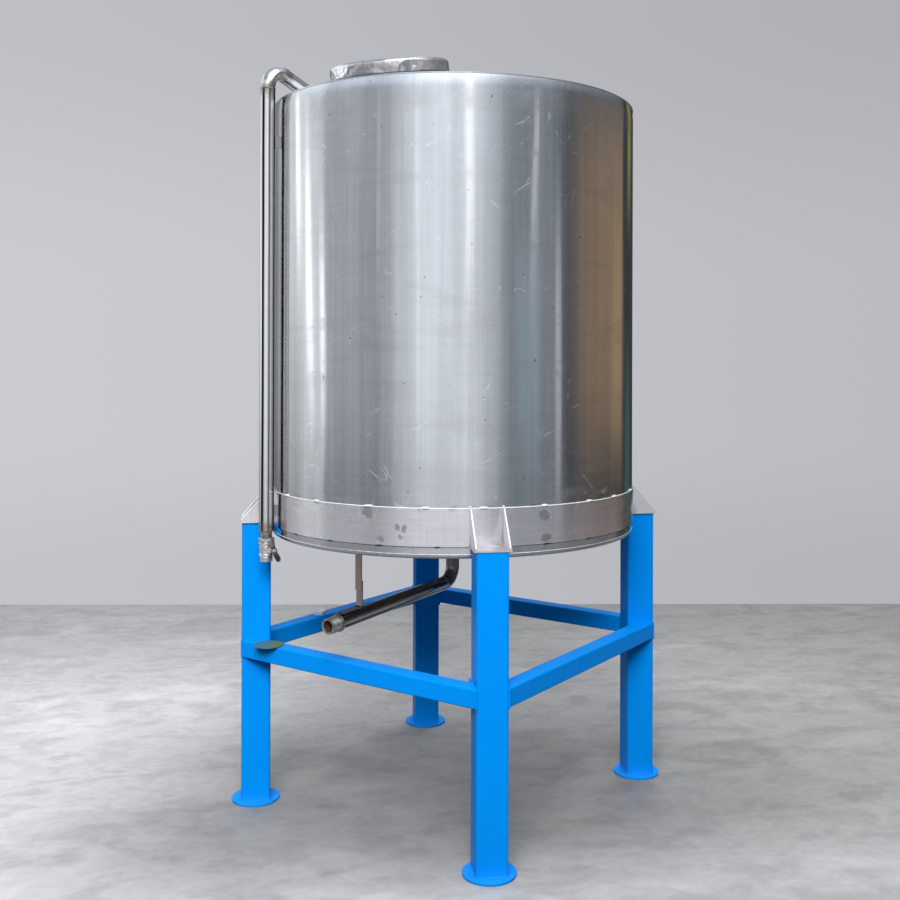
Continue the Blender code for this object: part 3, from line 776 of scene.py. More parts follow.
# Near-white, mostly matt bead: pale ground weld metal that is also a painted highlight.
PALE_WELD_PAINTED_HIGHLIGHT = WeldMetal("pale_weld_painted_highlight", (0.95, 0.95, 0.96), burnt_share=0.08, roughness=0.3, metallic=0.2)
DARK_WELD = WeldMetal("dark_weld_bead", (0.34, 0.31, 0.29), (0.10, 0.07, 0.055), 0.8)
# Near-black bead: painted shade under the band's lower edge, on its lower tacks and under the bracket plates.
BLACK_BEAD_PAINTED_SHADE = WeldMetal("black_bead_painted_shade", (0.045, 0.045, 0.05), (0.015, 0.015, 0.015), 0.8, 0.45)
PAINTED = StandPaint("azure_paint")

Ripple = Callable[[float, float], float]
Corner = tuple[float, float]
Profile = list[Corner]


@dataclass(frozen=True)
class Bead:
    """Cross-section and ripple of a weld bead or a tube."""

    radius: float = 0.003
    pitch: float = 0.0045
    ripple: float = 0.12
    tapered: bool = False
    sides: int = 8


def tube(radius: float, spacing: float = 0.12) -> Bead:
    """Cross-section of a plain round tube, without ripples."""
    return Bead(radius, spacing, 0.0, sides=64)


class Draft:
    """Points and faces gathered for one piece."""

    STEPS_IN_A_RIPPLE = 4

    def __init__(self) -> None:
        """Start with no points."""
        self.points: list[Vector] = []
        self.faces: list[tuple[int, ...]] = []

    def ring(self, points: Iterable[Vector]) -> range:
        """Add a ring of points.

        Args:
            points: the points, in order.

        Returns:
            Their numbers.
        """
        start = len(self.points)
        self.points += points
        return range(start, len(self.points))

    def bridge(self, first: range, second: range) -> None:
        """Join two rings of equal length, or a ring and a single point.

        Args:
            first: the numbers of one ring's points.
            second: the numbers of the other's.
        """
        count = max(len(first), len(second))
        for step in range(count):
            after = (step + 1) % count
            corners = (
                first[step % len(first)],
                first[after % len(first)],
                second[after % len(second)],
                second[step % len(second)],
            )
            self.faces.append(tuple(dict.fromkeys(corners)))

    def sweep(self, path: Sequence[Vector], bead: Bead, closed: bool = False) -> Draft:
        """Run a bead along a path.

        Args:
            path: the corners of the path.
            bead: the bead's size and ripple.
            closed: whether the path comes back to its start.

        Returns:
            The draft itself.
        """
        route = self._resampled(path, bead.pitch / self.STEPS_IN_A_RIPPLE, closed)
        count = len(route)
        side = Vector((0, 0, 0))
        rings: list[range] = []
        for step, point in enumerate(route):
            before = route[step - 1] if step or closed else point
            after = route[(step + 1) % count] if step < count - 1 or closed else point
            run = (after - before).normalized()
            side = side - run * side.dot(run)
            if side.length < 0.1:
                side = run.orthogonal()
            side.normalize()
            other = run.cross(side)
            phase = 2 * math.pi * step / self.STEPS_IN_A_RIPPLE
            radius = bead.radius * (1 + bead.ripple * math.cos(phase))
            if bead.tapered:
                radius *= max(0.12, 1 - abs(2 * step / (count - 1) - 1) ** 3) ** 0.5
            turns = [2 * math.pi * turn / bead.sides for turn in range(bead.sides)]
            spokes = [side * math.cos(turn) + other * math.sin(turn) for turn in turns]
            rings.append(self.ring(point + spoke * radius for spoke in spokes))
        for first, second in zip(rings, rings[1:]):
            self.bridge(first, second)
        if closed:
            self.bridge(rings[-1], rings[0])
        else:
            self.faces.append(tuple(reversed(rings[0])))
            self.faces.append(tuple(rings[-1]))
        return self

    @staticmethod
    def _resampled(path: Sequence[Vector], step: float, closed: bool) -> list[Vector]:
        """Points at even steps along a path.

        Args:
            path: the corners of the path.
            step: the distance between two points.
            closed: whether the path comes back to its start.

        Returns:
            The points.
        """
        corners = [Vector(point) for point in path] + ([Vector(path[0])] if closed else [])
        lengths = [(second - first).length for first, second in zip(corners, corners[1:])]
        total = sum(lengths)
        count = max(4, round(total / step))
        points: list[Vector] = []
        leg, passed = 0, 0.0
        for number in range(count if closed else count + 1):
            target = total * number / count
            while leg < len(lengths) - 1 and passed + lengths[leg] < target:
                passed += lengths[leg]
                leg += 1
            share = (target - passed) / lengths[leg] if lengths[leg] else 0.0
            points.append(corners[leg].lerp(corners[leg + 1], share))
        return points

    def turn(
        self,
        profile: Sequence[Corner],
        place: Matrix,
        steps: int = 64,
        ring: bool = False,
        ripple: Ripple | None = None,
    ) -> Draft:
        """Turn a profile about the local Z axis.

        Args:
            profile: points of radius and height; it runs down its outer side from the top.
            place: the matrix of the local axes.
            steps: facets in a full turn.
            ring: whether the profile is joined back to its first point.
            ripple: what an angle and a height add to the radius.

        Returns:
            The draft itself.
        """
        rings: list[range] = []
        for radius, height in profile:
            turns = [0.0] if radius < 1e-6 else [2 * math.pi * turn / steps for turn in range(steps)]
            points = []
            for turn in turns:
                reach = radius + (ripple(turn, height) if ripple and radius > 1e-6 else 0.0)
                points.append(place @ Vector((reach * math.cos(turn), reach * math.sin(turn), height)))
            rings.append(self.ring(points))
        for first, second in zip(rings, rings[1:]):
            self.bridge(second, first)
        if ring:
            self.bridge(rings[0], rings[-1])
        return self

    def build(self, name: str, angle: float = math.radians(35)) -> bpy.types.Object:
        """Make the piece's object.

        Args:
            name: the piece's name.
            angle: edges sharper than this stay sharp.

        Returns:
            The object, at the origin.
        """
        mesh = bpy.data.meshes.new(name)
        mesh.from_pydata(self.points, [], self.faces)
        mesh.validate()
        mesh.shade_smooth()
        mesh.set_sharp_from_angle(angle=angle)
        piece = bpy.data.objects.new(name, mesh)
        bpy.context.scene.collection.objects.link(piece)
        return piece


def heading(angle: float) -> Vector:
    """Horizontal unit vector at an angle from +X."""
    return Vector((math.cos(angle), math.sin(angle), 0.0))


def circle(
    centre: Vector, axis: Vector, radius: float, start: float = 0.0, sweep: float = 360.0
) -> list[Vector]:
    """Points of a circle or an arc.

    Args:
        centre: the circle's centre.
        axis: its axis.
        radius: its radius.
        start: where the arc starts, in degrees.
        sweep: how far it runs, in degrees.

    Returns:
        The points; a full circle's last point lies just before its first.
    """
    if abs(axis.z) > 0.999:
        side, other = Vector((1, 0, 0)), Vector((0, 1, 0))
    else:
        side = axis.cross(UP).normalized()
        other = axis.cross(side)
    count = max(4, round(abs(sweep) / 3))
    last = count if sweep < 360 else count - 1
    turns = [math.radians(start + sweep * step / count) for step in range(last + 1)]
    return [centre + (side * math.cos(turn) + other * math.sin(turn)) * radius for turn in turns]


def arc(centre: Corner, radius: float, start: float, end: float, steps: int) -> Profile:
    """Points of an arc in a profile.

    Args:
        centre: the arc's centre.
        radius: its radius.
        start: the angle at which it starts.
        end: the angle at which it ends.
        steps: its number of facets.

    Returns:
        The points.
    """
    turns = [start + (end - start) * step / steps for step in range(steps + 1)]
    return [(centre[0] + radius * math.cos(turn), centre[1] + radius * math.sin(turn)) for turn in turns]


def eased_plate(radius: float, thickness: float, ease: float = 0.0012) -> Profile:
    """Profile of a flat round plate with eased edges.

    Args:
        radius: the plate's radius.
        thickness: its thickness.
        ease: the radius of its edges.

    Returns:
        The points, from the middle of its top to the middle of its foot.
    """
    edge = arc((radius - ease, thickness - ease), ease, math.pi / 2, 0.0, 4)
    edge += arc((radius - ease, ease), ease, 0.0, -math.pi / 2, 4)
    return [(0.0, thickness)] + edge + [(0.0, 0.0)]


def filled(profile: Sequence[Corner], step: float) -> Profile:
    """Add points to a profile until none are further apart than a step.

    Args:
        profile: points of radius and height.
        step: the longest distance between two points.

    Returns:
        The denser profile.
    """
    dense = [profile[0]]
    for first, second in zip(profile, profile[1:]):
        count = max(1, math.ceil(math.dist(first, second) / step))
        for number in range(1, count + 1):
            share = number / count
            dense.append(tuple(a + (b - a) * share for a, b in zip(first, second)))
    return dense


def along(origin: Vector, direction: Vector) -> Matrix:
    """Matrix whose local Z axis runs along a direction."""
    return Matrix.Translation(origin) @ UP.rotation_difference(direction).to_matrix().to_4x4()


def elbow(
    start: Vector, first: Vector, second: Vector, radius: float, angle: float, steps: int = 40
) -> list[Vector]:
    """Points of a bend.

    Args:
        start: where the bend starts.
        first: the direction in which it leaves.
        second: the direction towards which it turns.
        radius: its radius.
        angle: how far it turns.
        steps: its number of facets.

    Returns:
        The points.
    """
    points = []
    for step in range(steps + 1):
        turn = angle * step / steps
        points.append(start + first * radius * math.sin(turn) + second * radius * (1 - math.cos(turn)))
    return points


def tube_axes(origin: Vector, run: Vector) -> dict[str, tuple[float, ...]]:
    """Axes that a tube's finish follows.

    Args:
        origin: a point of the tube's axis.
        run: the direction of the tube.

    Returns:
        The finish's fields for the origin, two directions across the tube and the one along it.
    """
    side = run.cross(UP).normalized()
    other = side.cross(run)
    return {"origin": tuple(origin), "side": tuple(side), "other": tuple(other), "length": tuple(run)}


def threaded(depth: float, pitch: float, low: float, high: float) -> Ripple:
    """Ripple of a screw thread on a turned piece.

    Args:
        depth: how deep the thread is cut.
        pitch: the distance between two crests.
        low: where the thread starts.
        high: where it ends.

    Returns:
        The ripple: minus the depth in a root, and 0 on a crest and outside the thread.
    """

    def cut(turn: float, height: float) -> float:
        """Change of the radius at a place on the thread.

        Args:
            turn: the place's angle round the axis.
            height: its height along the axis.

        Returns:
            The change, which is 0 outside the thread.
        """
        if not low < height < high:
            return 0.0
        phase = (height / pitch - turn / (2 * math.pi)) % 1.0
        fade = min(1.0, (height - low) / pitch, (high - height) / pitch)
        return -depth * abs(2 * phase - 1) * fade

    return cut


@dataclass
class SubAssembly:
    """A group of CAD nodes and of the pieces that are built on them."""

    nodes: dict[str, bpy.types.Object] = field(default_factory=dict)

    def coat(self, finish: Finish, *names: str) -> None:
        """Give CAD nodes a finish.

        Args:
            finish: the finish.
            names: the nodes' names.
        """
        for name in names:
            for slot in self.nodes[name].material_slots:
                slot.material = finish.material()
            LOG.info("node %s is finished as %s", name, finish.name)

    def mount(
        self,
        draft: Draft | bpy.types.Object,
        name: str,
        finish: Finish,
        slot: Slot,
        replaced: Sequence[str] = (),
        body: Body = Body.TANK,
    ) -> None:
        """Build a piece and let it ride on a body.

        Args:
            draft: the piece's points and faces, or its finished object.
            name: its name.
            finish: its finish.
            slot: the record's material slot that the finish belongs to; it is not used.
            replaced: the CAD nodes that the piece stands for.
            body: the body that carries it.
        """
        piece = draft.build(name) if isinstance(draft, Draft) else draft
        piece.data.materials.clear()
        piece.data.materials.append(finish.material())
        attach(piece, body.value)
        if replaced:
            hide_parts(*replaced)
        LOG.info("piece %s rides on %s", name, body.value)

    def weld(self, name: str, finish: Finish, slot: Slot, *seams: tuple[Sequence[Vector], Bead]) -> None:
        """Build a piece of weld beads that come back to their start.

        Args:
            name: the piece's name.
            finish: its finish.
            slot: the record's material slot that the finish belongs to.
            seams: the path and the bead of each weld.
        """
        draft = Draft()
        for path, bead in seams:
            draft.sweep(path, bead, closed=True)
        self.mount(draft, name, finish, slot)


@dataclass(frozen=True)
class BandMarks:
    """Tack welds and stains of the reinforcement band, by azimuth in degrees and height."""

    top_tacks: tuple[float, ...] = (
        -157.3, -141.7, -123.2, -106.8, -90.9, -73.0, -56.5, -43.3, -27.0, -10.5, 6.0, 22.0,
        38.5, 55.0, 71.5, 88.0, 104.5, 121.0, 137.0, 153.5, 170.0,
    )
    low_tacks: tuple[float, ...] = (
        -151.4, -136.0, -119.8, -103.5, -72.4, -57.0, -33.0, -9.0, 15.0, 36.0, 60.0, 84.0,
        108.0, 130.0, 152.0, 175.0,
    )
    tack_length: float = 0.026
    stains: tuple[Stain, ...] = (
        Stain(-123.3, 1.080, 0.020, 0.017, 0.62),
        Stain(-128.9, 1.037, 0.018, 0.024, 0.22),
        Stain(-114.6, 1.039, 0.009, 0.012, 0.60),
        Stain(-112.6, 1.036, 0.009, 0.013, 0.60),
        Stain(-113.7, 1.010, 0.008, 0.008, 0.60),
        Stain(-119.2, 1.001, 0.016, 0.011, 0.60),
        Stain(-73.4, 1.071, 0.024, 0.018, 0.66),
        Stain(-72.7, 1.000, 0.020, 0.015, 0.70),
        Stain(-50.8, 1.040, 0.012, 0.030, 0.25),
        Stain(60.0, 1.050, 0.022, 0.018, 0.45),
        Stain(125.0, 1.030, 0.016, 0.024, 0.40),
    )


@dataclass
class TankShell(SubAssembly):
    """Wall, roof, bottom and reinforcement band with their seams."""

    radius: float = 0.650
    sheet: float = 0.003
    wall_low: float = 0.958
    wall_high: float = 2.4425
    gap: float = 0.0003
    roof_slope: float = math.radians(10.8)
    bottom_slope: float = math.radians(9.0)
    knuckle: float = 0.012
    band_radius: float = 0.6533
    band_low: float = 0.981
    band_high: float = 1.100
    outlet_radius: float = 0.0243
    neck_radius: float = 0.1823
    pipe_radius: float = 0.0261
    rim_roll: float = 0.044
    rim_inset: float = 0.0026
    rim_mark: float = 0.075
    wave: float = 0.0008
    ripple: float = 0.00018
    collar_radius: float = 0.0262
    seam_azimuth: float = math.radians(62)
    steps: int = 288
    bottom_low: float = field(init=False, default=0.0)
    marks: BandMarks = BandMarks()

    def dress(self) -> None:
        """Build the shell's fine meshes and its welds."""
        self.build_wall()
        self.build_band()
        self.build_roof()
        self.build_bottom()
        self.add_band_welds()
        self.add_seams()

    def dent(self, turn: float, height: float) -> float:
        """Slight unevenness of the rolled wall, and the roll of its rim.

        Args:
            turn: the angle round the tank.
            height: the height above the floor.

        Returns:
            The change of the radius, which is never outwards by more than 0.2 mm.
        """
        around = Vector((math.cos(turn) * 1.9, math.sin(turn) * 1.9, height * 0.8))
        wave = noise.noise(around) * self.wave + noise.noise(around * 2.7) * self.ripple
        rim = max(0.0, (height - self.wall_high + self.rim_roll) / self.rim_roll)
        return min(wave, 0.0006) - 0.0004 - self.rim_inset * rim**2

    def build_wall(self) -> None:
        """Rolled wall, replaced by a finer mesh of the same size."""
        inner = self.radius - self.sheet
        roll_low = self.wall_high - self.rim_roll
        outside = filled([(self.radius, self.wall_high), (self.radius, self.wall_low)], 0.020)
        fine = filled([(self.radius, self.wall_high), (self.radius, roll_low)], 0.004)
        outside = fine + [point for point in outside if point[1] < roll_low - 0.002]
        inside = filled([(inner, self.wall_low), (inner, self.wall_high)], 0.20)
        wall = Draft().turn(outside + inside, Matrix.Identity(4), self.steps, ring=True, ripple=self.dent)
        rim_level = self.wall_high - self.rim_mark
        finish = RolledSheet("wall_sheet", pits=0.6, haze_level=self.band_high, rim_level=rim_level)
        self.mount(wall, "rolled_wall", finish, Slot.SHEET, ["tank_wall"])

    def build_band(self) -> None:
        """Reinforcement band round the foot of the wall."""
        edge = 0.0006
        low = self.radius + self.gap
        profile = [
            (self.band_radius - edge, self.band_high),
            (self.band_radius, self.band_high - edge),
            (self.band_radius, self.band_low + edge),
            (self.band_radius - edge, self.band_low),
            (low, self.band_low),
            (low, self.band_high),
        ]
        band = Draft()
        band.turn(filled(profile, 0.012), Matrix.Identity(4), self.steps, ring=True, ripple=self.band_dent)
        finish = RolledSheet(
            "band_sheet",
            (0.78, 0.75, 0.79),
            roughness=0.24,
            grain=(3.0, 3.0, 150.0),
            grain_depth=0.00001,
            scratches=0.25,
            haze_level=self.band_high,
            stains=self.marks.stains,
        )
        self.mount(band, "rolled_band", finish, Slot.SHEET, ["reinforcement_band"])

    def band_dent(self, turn: float, height: float) -> float:
        """Slight unevenness of the band."""
        return noise.noise(Vector((math.cos(turn) * 3.1, math.sin(turn) * 3.1, height * 5.0))) * 0.0004

    def roof_height(self, radius: float) -> float:
        """Height of the roof's outer face at a distance from the axis."""
        return self.wall_high + self.gap + self.sheet + (self.radius - radius) * math.tan(self.roof_slope)

    def build_roof(self) -> None:
        """Conical roof with its manhole and the hole of the filling pipe."""
        drop = self.sheet / math.cos(self.roof_slope)
        top = self.roof_height(0.0)
        profile = [
            (0.0, top),
            (self.radius - 0.0020, self.roof_height(self.radius - 0.0020)),
            (self.radius - 0.0006, self.roof_height(self.radius) - 0.0006),
            (self.radius - 0.0006, self.wall_high + self.gap),
            (0.0, top - drop),
        ]
        roof = Draft().turn(filled(profile, 0.05), Matrix.Identity(4), self.steps)
        piece = roof.build("conical_roof")
        place, _ = Manhole.frame()
        self.cut(piece, self.neck_radius, -0.1, 0.1, place)
        route, run = FillingPipe.route()
        self.cut(piece, self.pipe_radius, 0.05, 0.40, along(route[-2], run))
        finish = RolledSheet("roof_sheet", roughness=0.28, grain=(3.0, 60.0, 3.0), wave=0.0012, scratches=0.4)
        self.mount(piece, "conical_roof", finish, Slot.SHEET, ["tank_roof"])

    @staticmethod
    def cut(piece: bpy.types.Object, radius: float, low: float, high: float, place: Matrix) -> None:
        """Cut a round hole.

        Args:
            piece: the piece that is cut.
            radius: the hole's radius.
            low: where the cutter starts along its axis.
            high: where it ends.
            place: the matrix of the cutter's axis.
        """
        draft = Draft().turn([(0.0, high), (radius, high), (radius, low), (0.0, low)], place, 96)
        cutter = draft.build("hole_cutter")
        change = piece.modifiers.new("hole", "BOOLEAN")
        change.object = cutter
        change.operation = "DIFFERENCE"
        change.solver = "EXACT"
        bpy.context.view_layer.update()
        graph = bpy.context.evaluated_depsgraph_get()
        mesh = bpy.data.meshes.new_from_object(piece.evaluated_get(graph))
        piece.modifiers.clear()
        piece.data = mesh
        bpy.data.objects.remove(cutter, do_unlink=True)
        mesh.shade_smooth()
        mesh.set_sharp_from_angle(angle=math.radians(30))

    def build_bottom(self) -> None:
        """Bottom with its knuckle and shallow cone."""
        top = self.wall_low - self.gap
        centre = (self.radius - self.knuckle, top - 0.002)
        end = math.pi / 2 - self.bottom_slope
        outer = [(self.radius, top)] + arc(centre, self.knuckle, 0.0, -end, 12)
        inner = arc(centre, self.knuckle - self.sheet, -end, 0.0, 12) + [(self.radius - self.sheet, top)]
        fall = math.tan(self.bottom_slope)
        outer.append((self.outlet_radius, outer[-1][1] - (outer[-1][0] - self.outlet_radius) * fall))
        inner.insert(0, (self.outlet_radius, inner[0][1] - (inner[0][0] - self.outlet_radius) * fall))
        bottom = Draft().turn(filled(outer + inner, 0.05), Matrix.Identity(4), self.steps, ring=True)
        # The bottom's dark base colour is painted shade for the tank's underside.
        finish = RolledSheet("bottom_sheet_painted_shade", (0.34, 0.335, 0.34), roughness=0.30, grain=(8.0, 8.0, 60.0))
        self.mount(bottom, "conical_bottom", finish, Slot.SHEET, ["tank_bottom"])
        self.bottom_low = outer[-1][1]

    def add_band_welds(self) -> None:
        """Ground edge of the band, pale as a painted highlight, and the tack welds above and below it; a
        black bead under its lower edge and dark beads under the upper tacks are painted shade.
        """
        edge = circle(UP * (self.band_high + 0.0002), UP, self.band_radius - 0.0012)
        self.weld("band_ground_edge", PALE_WELD_PAINTED_HIGHLIGHT, Slot.SHEET, (edge, Bead(0.0014, 0.02, 0.05)))
        # A black ring under the band's lower edge: painted shadow.
        under = circle(UP * (self.band_low - 0.0007), UP, self.radius + 0.0014)
        self.weld("band_lower_painted_shadow", BLACK_BEAD_PAINTED_SHADE, Slot.SHEET, (under, Bead(0.0014, 0.02, 0.10)))
        self.add_tacks("band_top_tacks", self.marks.top_tacks, self.band_high + 0.0018, 0.0036, PALE_WELD_PAINTED_HIGHLIGHT)
        # The lower tacks are near-black: painted shade.
        self.add_tacks("band_low_tacks", self.marks.low_tacks, self.band_low - 0.0005, 0.0028, BLACK_BEAD_PAINTED_SHADE)
        # Dark beads just under the upper tacks: painted shade.
        shade = [azimuth + 0.12 for azimuth in self.marks.top_tacks]
        self.add_tacks("band_tack_painted_shade", shade, self.band_high - 0.0022, 0.0022, DARK_WELD)

    def add_tacks(
        self, name: str, azimuths: Sequence[float], level: float, radius: float, finish: Finish
    ) -> None:
        """Add a row of tack welds.

        Args:
            name: the piece's name.
            azimuths: the middle of each tack, in degrees.
            level: the height of the row.
            radius: the beads' radius.
            finish: the beads' finish.
        """
        tacks = Draft()
        half = math.degrees(self.marks.tack_length / self.band_radius / 2)
        for number, azimuth in enumerate(azimuths):
            reach = half * (0.85 + 0.3 * ((number * 7) % 5) / 4)
            path = circle(UP * level, UP, self.band_radius - 0.001, azimuth - reach, 2 * reach)
            tacks.sweep(path, Bead(radius, 0.005, 0.10, tapered=True))
        self.mount(tacks, name, finish, Slot.SHEET)

    def add_seams(self) -> None:
        """Rim, foot and upright seams of the shell, and the weld round its outlet."""
        rim = circle(UP * (self.wall_high + 0.0004), UP, self.radius - 0.0031)
        finish = WeldMetal("rim_seam", burnt_share=0.25)
        self.weld("roof_rim_seam", finish, Slot.SHEET, (rim, Bead(0.0017, 0.012, 0.06)))
        # The foot seam is a thin near-white bead: the seam, pale as a painted highlight along the bottom's
        # knuckle.
        foot = circle(UP * (self.wall_low - 0.0004), UP, self.radius - 0.0010)
        self.weld("bottom_seam", PALE_WELD_PAINTED_HIGHLIGHT, Slot.SHEET, (foot, Bead(0.0013, 0.010, 0.08)))
        upright = Draft()
        side = heading(self.seam_azimuth) * (self.radius - 0.0016)
        start, end = side + UP * (self.band_high + 0.006), side + UP * (self.wall_high - 0.030)
        upright.sweep([start, end], Bead(0.0022, 0.006, 0.10))
        self.mount(upright, "wall_upright_seam", WeldMetal("planished_seam", burnt_share=0.3), Slot.SHEET)
        outlet = circle(UP * (self.bottom_low - 0.0005), UP, self.collar_radius)
        self.weld("outlet_collar_weld", WELD, Slot.SHEET, (outlet, Bead(0.0026)))


@dataclass
class Stand(SubAssembly):
    """Painted legs, foot plates and cross-beams with their welds."""

    sides: tuple[str, ...] = ("front", "right", "back", "left")
    corners: tuple[str, ...] = ("front_right", "back_right", "back_left", "front_left")
    leg_corner: float = 0.008
    foot_radius: float = 0.0835
    foot_thickness: float = 0.008
    weld_reach: float = 0.015

    def dress(self) -> None:
        """Finish the stand's nodes and add its welds."""
        self.coat(PAINTED, *("leg_" + side for side in self.sides))
        self.coat(PAINTED, *("cross_beam_" + corner for corner in self.corners))
        self.build_feet()
        self.add_foot_welds()
        self.add_beam_welds()

    def build_feet(self) -> None:
        """Round foot plates with eased edges."""
        for side in self.sides:
            low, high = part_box("foot_plate_" + side)
            place = Matrix.Translation(((low.x + high.x) / 2, (low.y + high.y) / 2, 0.0))
            foot = Draft().turn(eased_plate(self.foot_radius, self.foot_thickness), place, 96)
            self.mount(foot, "round_foot_" + side, PAINTED, Slot.PAINT, ["foot_plate_" + side])

    def add_foot_welds(self) -> None:
        """Fillet weld round the foot of each leg."""
        seams = []
        for side in self.sides:
            low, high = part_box("leg_" + side)
            level = self.foot_thickness + 0.0006
            middle = Vector(((low.x + high.x) / 2, (low.y + high.y) / 2, level))
            half = (high.x - low.x) / 2 - self.leg_corner
            loop = []
            for number, (x, y) in enumerate(((half, half), (-half, half), (-half, -half), (half, -half))):
                loop += circle(middle + Vector((x, y, 0)), UP, self.leg_corner, 90.0 * number, 90.0)
            seams.append((loop, Bead(0.0038, 0.007, 0.16)))
        self.weld("leg_foot_welds", PAINTED, Slot.PAINT, *seams)

    def add_beam_welds(self) -> None:
        """Fillet weld round each end of each cross-beam."""
        seams = []
        for corner in self.corners:
            depth_side, width_side = corner.split("_")
            beam_low, beam_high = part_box("cross_beam_" + corner)
            for side in (depth_side, width_side):
                low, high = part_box("leg_" + side)
                if side in ("front", "back"):
                    face_x = high.x if width_side == "right" else low.x
                    inner = high.y if side == "front" else low.y
                    outer = beam_low.y if side == "front" else beam_high.y
                    flat = [(face_x, outer), (face_x, inner - math.copysign(self.weld_reach, inner))]
                else:
                    face_y = high.y if depth_side == "back" else low.y
                    inner = low.x if side == "right" else high.x
                    outer = beam_high.x if side == "right" else beam_low.x
                    flat = [(outer, face_y), (inner + math.copysign(self.weld_reach, inner), face_y)]
                loop = [Vector((*point, beam_low.z)) for point in flat]
                loop += [Vector((*point, beam_high.z)) for point in reversed(flat)]
                seams.append((loop, Bead(0.0030, 0.007, 0.16)))
        self.weld("cross_beam_welds", PAINTED, Slot.PAINT, *seams)


@dataclass
class Brackets(SubAssembly):
    """Stainless plates and gussets between the legs and the band."""

    azimuths: tuple[tuple[str, float], ...] = (
        ("front", -90.0),
        ("right", 0.0),
        ("back", 90.0),
        ("left", 180.0),
    )
    gusset_offset: float = 0.0525
    gusset_half: float = 0.0025
    toe: float = 0.0058
    crest: float = 0.012
    leg_centre: float = 0.704
    leg_half: float = 0.049
    band_radius: float = 0.6533
    band_high: float = 1.100

    def dress(self) -> None:
        """Finish the brackets and add their welds."""
        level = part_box("bracket_plate_front")[1].z
        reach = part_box("bracket_plate_right")[1].x
        offsets = (-self.gusset_offset, self.gusset_offset)
        half = self.leg_half
        corners = ((-half, -half), (half, -half), (half, half), (-half, half))
        fillets, tops, edges = Draft(), Draft(), Draft()
        seams = []
        for side, azimuth in self.azimuths:
            turn = Matrix.Rotation(math.radians(azimuth), 4, "Z")
            tints = tuple(
                HeatTintAndPaintedShade(tuple(turn @ Vector((self.band_radius + 0.004, offset, level + 0.004))), 0.040, 0.4)
                for offset in offsets
            )
            colour = (0.76, 0.75, 0.75)
            finish = RolledSheet("bracket_sheet_" + side, colour, 0.34, wave=0.0004, tints=tints)
            names = ["bracket_plate_" + side, f"bracket_gusset_{side}_a", f"bracket_gusset_{side}_b"]
            self.coat(finish, *names)
            for offset in offsets:
                inner = math.copysign(abs(offset) - self.gusset_half, offset)
                foot = math.sqrt(self.band_radius**2 - inner**2)
                base = turn @ Vector((foot + 0.001, inner, level + 0.001))
                outwards = turn @ Vector((reach - 0.012, inner, level + 0.001))
                upwards = turn @ Vector((foot + 0.001, inner, self.band_high - 0.008))
                fillets.sweep([base, outwards], Bead(0.0018))
                fillets.sweep([base, upwards], Bead(0.0018))
                top = turn @ Vector((foot + 0.002, offset, self.band_high + 0.001))
                tops.sweep([top, top + UP * 0.007], Bead(0.0032, tapered=True))
                # A thin pale bead along each gusset's sloped edge: painted highlight of its ground edge.
                toe = turn @ Vector((reach - 0.0008, offset, level + self.toe))
                crest = turn @ Vector((foot + self.crest - 0.0006, offset, self.band_high - 0.0004))
                edges.sweep([toe, crest], Bead(self.gusset_half - 0.0001, 0.02, 0.03))
            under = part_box("leg_" + side)[1].z
            loop = [turn @ Vector((self.leg_centre + x, y, under - 0.0002)) for x, y in corners]
            seams.append((loop, Bead(0.0016, 0.006, 0.15)))
        self.mount(fillets, "bracket_fillets", WELD, Slot.SHEET)
        self.mount(tops, "gusset_top_tacks", PALE_WELD_PAINTED_HIGHLIGHT, Slot.SHEET)
        self.mount(edges, "gusset_edge_painted_highlights", PALE_WELD_PAINTED_HIGHLIGHT, Slot.SHEET)
        # The weld round each leg's top is near-black: painted shade under the bracket plate.
        self.weld("leg_top_welds", BLACK_BEAD_PAINTED_SHADE, Slot.SHEET, *seams)


